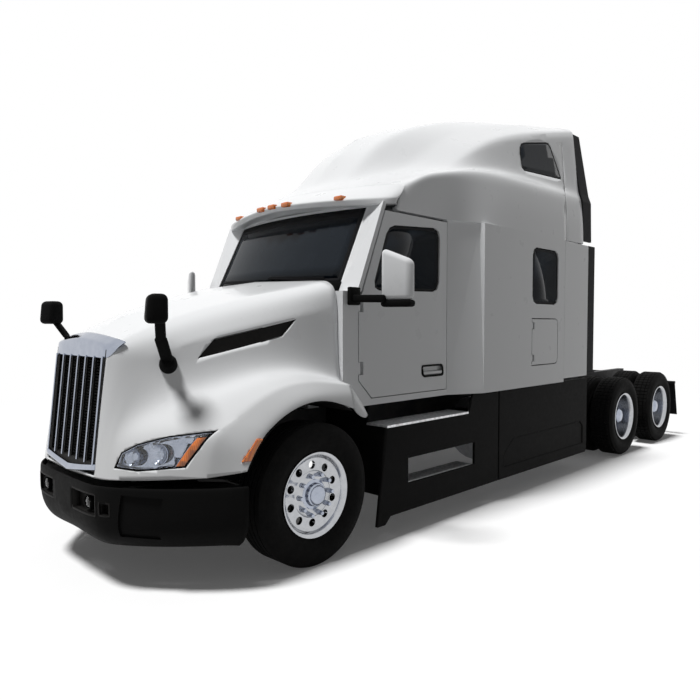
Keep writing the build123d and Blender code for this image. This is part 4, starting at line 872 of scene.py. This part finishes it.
piece("sleeper_panes", joined(*roof_panes), "chassis", "glass", steps=[thick(0.006)], closed=False)


# Mirrors
def mirror_shell(low, high, outer_high):
    """Part of the main mirror's head between two heights."""
    def corner(ahead, out, up):
        front, rear = (-0.566, -0.648) if out > 0 else (-0.470, -0.545)
        top = outer_high if out > 0 else high
        return (front if ahead > 0 else rear, 1.488 if out > 0 else 1.292, top if up > 0 else low)
    return corner


def nose_shell(ahead, out, up):
    """Corners of the hood mirror's head."""
    x, y = (1.003, 0.930) if out > 0 else (0.948, 0.790)
    lean = 0.018 if up > 0 else 0.0
    return (x + (0.125 - lean if ahead > 0 else 0.0), y - (0.050 if ahead > 0 else 0), 1.870 if up > 0 else 1.690)


shells, black_parts, nose_mirrors = [], [], []
for name, side in SIDES:
    shells.append(over(form(mirror_shell(1.862, 2.240, 2.150), 0.036, 5), side))
    black_parts.append(over(form(mirror_shell(1.812, 1.866, 1.866), 0.020, 4), side))
    black_parts.append(over(strut((-0.445, 1.045, 1.880), (-0.500, 1.330, 1.872), 0.075, 0.055, 0.014), side))
    black_parts.append(over(block((-0.505, -0.390), (1.038, 1.072), (1.830, 1.965), 0.010), side))
    nose_mirrors.append(over(form(nose_shell, 0.038, 5), side))
    nose_mirrors.append(over(strut((0.850, 0.640, 1.430), (0.962, 0.748, 1.600), 0.078, 0.030, 0.012), side))
    nose_mirrors.append(over(strut((0.955, 0.741, 1.588), (1.022, 0.850, 1.738), 0.064, 0.030, 0.012), side))
    nose_mirrors.append(turned([(0.0, 0.044), (0.040, 0.040), (0.054, 0.024), (0.060, -0.03)],
                               (0.850, 0.638 * side, 1.432), (0.45, 0.75 * side, 0.40)))
piece("mirror_shells", joined(*shells), "chassis", "white_paint", stands_for=["main_mirrors"])
piece("mirror_mounts", joined(*black_parts), "chassis", "black_plastic")
piece("nose_mirrors", joined(*nose_mirrors), "hood", "black_plastic", stands_for=["hood_mirrors"])

# Cowl, wipers and door handles
cowl = whole([[(-0.345, 0, 2.022), (-0.345, 0.45, 2.012), (-0.345, 0.86, 1.985)],
              [(-0.392, 0, 2.024), (-0.425, 0.45, 2.022), (-0.512, 0.86, 2.018)]], (-0.4, 0, 1.5), levels=2)
piece("cowl_panel", cowl, "chassis", "black_plastic", steps=[thick(0.07)], closed=False)
wipers = []
for near, far in ((0.84, 0.10), (-0.06, -0.80)):
    wipers.append(strut(screen(near, 2.030, -0.024), screen(far, 2.075, -0.024), 0.014, 0.014, 0.003))
    wipers.append(strut(screen(near - 0.02, 2.052, -0.012), screen(far, 2.082, -0.012), 0.010, 0.024, 0.003))
piece("wipers", joined(*wipers), "chassis", "rubber")
for name, side in SIDES:
    band, plate = pane([(-1.598, 1.236), (-1.300, 1.236), (-1.280, 1.342), (-1.585, 1.342)], 1.046, 0.030, 0.016)
    plate.free()
    piece(f"handle_bezel_{name}", over(band, side), f"door_{name}", "black_plastic", steps=[thick(0.012)],
          closed=False)
    piece(f"handle_pull_{name}", over(block((-1.575, -1.310), (1.026, 1.045), (1.258, 1.286), 0.008), side),
          f"door_{name}", "white_paint")


# Seats and bunk
def pad(x, y, z, crown, channels):
    """Stuffed cushion: crowned faces, sides that pull in, sewn channels across the top."""
    bm = block(x, y, z)
    bmesh.ops.subdivide_edges(bm, edges=bm.edges[:], cuts=11, use_grid_fill=True)
    middle = at(sum(x) / 2, sum(y) / 2, sum(z) / 2)
    half = [abs(b - a) / 2 for a, b in (x, y, z)]
    for v in bm.verts:
        share = [(v.co[i] - middle[i]) / half[i] for i in range(3)]
        for i in range(3):
            bulge = math.cos(share[i - 1] * math.pi / 2) * math.cos(share[i - 2] * math.pi / 2)
            v.co[i] += share[i] * crown * (bulge - 0.6)
        sewn = max(0, 1 - abs(((share[1] + 1) * channels / 2) % 1 - 0.5) * 14) if channels else 0
        v.co.z -= 0.012 * sewn * max(0, share[2])
        v.co.x -= 0.012 * sewn * max(0, share[0])
    return worked(bm, subdivided(1))


SEAT_Y = 0.52
pads = []
for name, side in SIDES:
    mid = SEAT_Y * side
    y = (mid - 0.24, mid + 0.24)
    pads.append((f"seat_cushion_{name}", pad((-1.54, -1.08), y, (1.36, 1.50), 0.03, 3)))
    lean = pad((-1.64, -1.50), y, (1.52, 2.00), 0.03, 3)
    head = pad((-1.65, -1.55), (mid - 0.15, mid + 0.15), (2.02, 2.21), 0.025, 0)
    pads.append((f"seat_back_{name}", lean))
    pads.append((f"seat_head_{name}", head))
    piece(f"seat_base_{name}", block((-1.50, -1.12), (mid - 0.2, mid + 0.2), (1.11, 1.37), 0.03),
          "chassis", "interior")
pads.append(("bunk_mattress", pad((-3.55, -2.72), (-1.12, 1.12), (1.78, 1.94), 0.03, 0)))
for name, bm in pads:
    soft = piece(name, bm, "chassis", "seat_fabric", angle=80,
                 stands_for=["seats"] if name == "bunk_mattress" else ())

# Looks of the CAD nodes that show
EDGES = {"cab_front": 0.012, "door_left": 0.008, "door_right": 0.008, "sleeper_sides": 0.006,
         "luggage_door_left": 0.006, "luggage_door_right": 0.006, "side_extenders": 0.01, "side_fairings": 0.012,
         "extender_edges": 0.006, "step_treads": 0.004, "mud_flaps": 0.004, "fifth_wheel_plate": 0.006,
         "dashboard": 0.03, "chassis_frame": 0.002, "fuel_tanks": 0.012, "tail_lamps": 0.006}
CAD_LOOKS = {
    "white_paint": ["cab_floor", "cab_front", "sleeper_sides", "sleeper_back", "side_extenders", "door_left",
                    "door_right", "luggage_door_left", "luggage_door_right"],
    "black_plastic": ["side_fairings", "splash_panels"],
    "rubber": ["extender_edges", "mud_flaps"],
    "frame_black": ["chassis_frame", "front_axle", "drive_axles", "suspension", "knuckle_left", "knuckle_right",
                    "tie_rod", "fifth_wheel_base", "fifth_wheel_plate", "deck_plate"],
    "engine_metal": ["engine", "radiator"],
    "aluminium": ["fuel_tanks"],
    "tread_plate": ["step_treads"],
    "dark_mesh": ["grille"],
    "lamp_red": ["tail_lamps"],
    "interior": ["dashboard", "steering_wheel"],
}
for look, names in CAD_LOOKS.items():
    for name in names:
        node = cad[name]
        node.data.materials.clear()
        node.data.materials.append(FINISHES[look])
        if name in EDGES:
            merge = node.modifiers.new("merge", "WELD")
            merge.merge_threshold = 0.0005
            edge = node.modifiers.new("edge", "BEVEL")
            edge.width = EDGES[name]
            edge.segments = 2
            edge.limit_method = "ANGLE"
            edge.angle_limit = math.radians(40)
            edge.harden_normals = False

# Floor, light and camera
floor = bmesh.new()
bmesh.ops.create_grid(floor, x_segments=1, y_segments=1, size=60)
mesh = bpy.data.meshes.new("studio_floor")
floor.to_mesh(mesh)
floor.free()
ground = bpy.data.objects.new("studio_floor", mesh)
bpy.context.collection.objects.link(ground)
paper = bpy.data.materials.new("studio_paper")
paper.use_nodes = True
tree = paper.node_tree
shade = Shade(tree)
tree.nodes["Principled BSDF"].inputs["Roughness"].default_value = 0.9
tree.nodes["Principled BSDF"].inputs["Specular IOR Level"].default_value = 0.0
grain = blend(shade, noise(shade, 3.0), (0.94, 0.94, 0.94, 1), (0.96, 0.96, 0.96, 1))
mesh.materials.append(paper)


def shown(shade):
    """Mask of the rays that come from the camera, metal or glass."""
    ray = shade.node("LightPath", out="Is Camera Ray")
    glossy = Shade(shade.tree, ray.socket.node.outputs["Is Glossy Ray"])
    through = Shade(shade.tree, ray.socket.node.outputs["Is Transmission Ray"])
    return (ray + glossy + through).held()


tone = blend(shade, shown(shade), (0.22, 0.22, 0.22, 1), grain)
tree.links.new(tone.socket, tree.nodes["Principled BSDF"].inputs["Base Color"])
far = shade.node("VectorMath", {"operation": "LENGTH"}, {0: place(shade)}, out="Value")
glow = shade.node("Emission", None, {"Color": (1, 1, 1, 1), "Strength": 1.0})
mixed = shade.node("MixShader", None, {0: (((far - 5.5) / 5.0).held() * 0.94 + 0.06) * shown(shade), 2: glow})
tree.links.new(tree.nodes["Principled BSDF"].outputs[0], mixed.socket.node.inputs[1])
tree.links.new(mixed.socket, tree.nodes["Material Output"].inputs["Surface"])

world = bpy.data.worlds.new("studio")
bpy.context.scene.world = world
world.use_nodes = True
tree = world.node_tree
shade = Shade(tree)
tree.links.new((0.105 + shown(shade) * 0.895).socket, tree.nodes["Background"].inputs["Strength"])
tree.nodes["Background"].inputs["Color"].default_value = (1, 1, 1, 1)

sun = bpy.data.lights.new("high_lamp", "SUN")
sun.energy = 3.3
sun.angle = math.radians(12)
lamp = bpy.data.objects.new("high_lamp", sun)
lamp.visible_glossy = False
bpy.context.collection.objects.link(lamp)
lamp.rotation_mode = "QUATERNION"
lamp.rotation_quaternion = Vector((-0.30, 0.06, -0.80)).to_track_quat("-Z", "Y")

view = bpy.data.cameras.new("photo_view")
view.sensor_width = 36
view.lens = 31.955
view.clip_end = 300
eye = bpy.data.objects.new("photo_view", view)
bpy.context.collection.objects.link(eye)
eye.location = at(2.890, 4.295, 1.681)
yaw, pitch = math.radians(224.511), math.radians(-2.292)
ahead = Vector((math.cos(pitch) * math.cos(yaw), math.cos(pitch) * math.sin(yaw), math.sin(pitch)))
eye.rotation_mode = "QUATERNION"
eye.rotation_quaternion = ahead.to_track_quat("-Z", "Y")
bpy.context.scene.camera = eye
bpy.context.scene.view_settings.view_transform = "Standard"
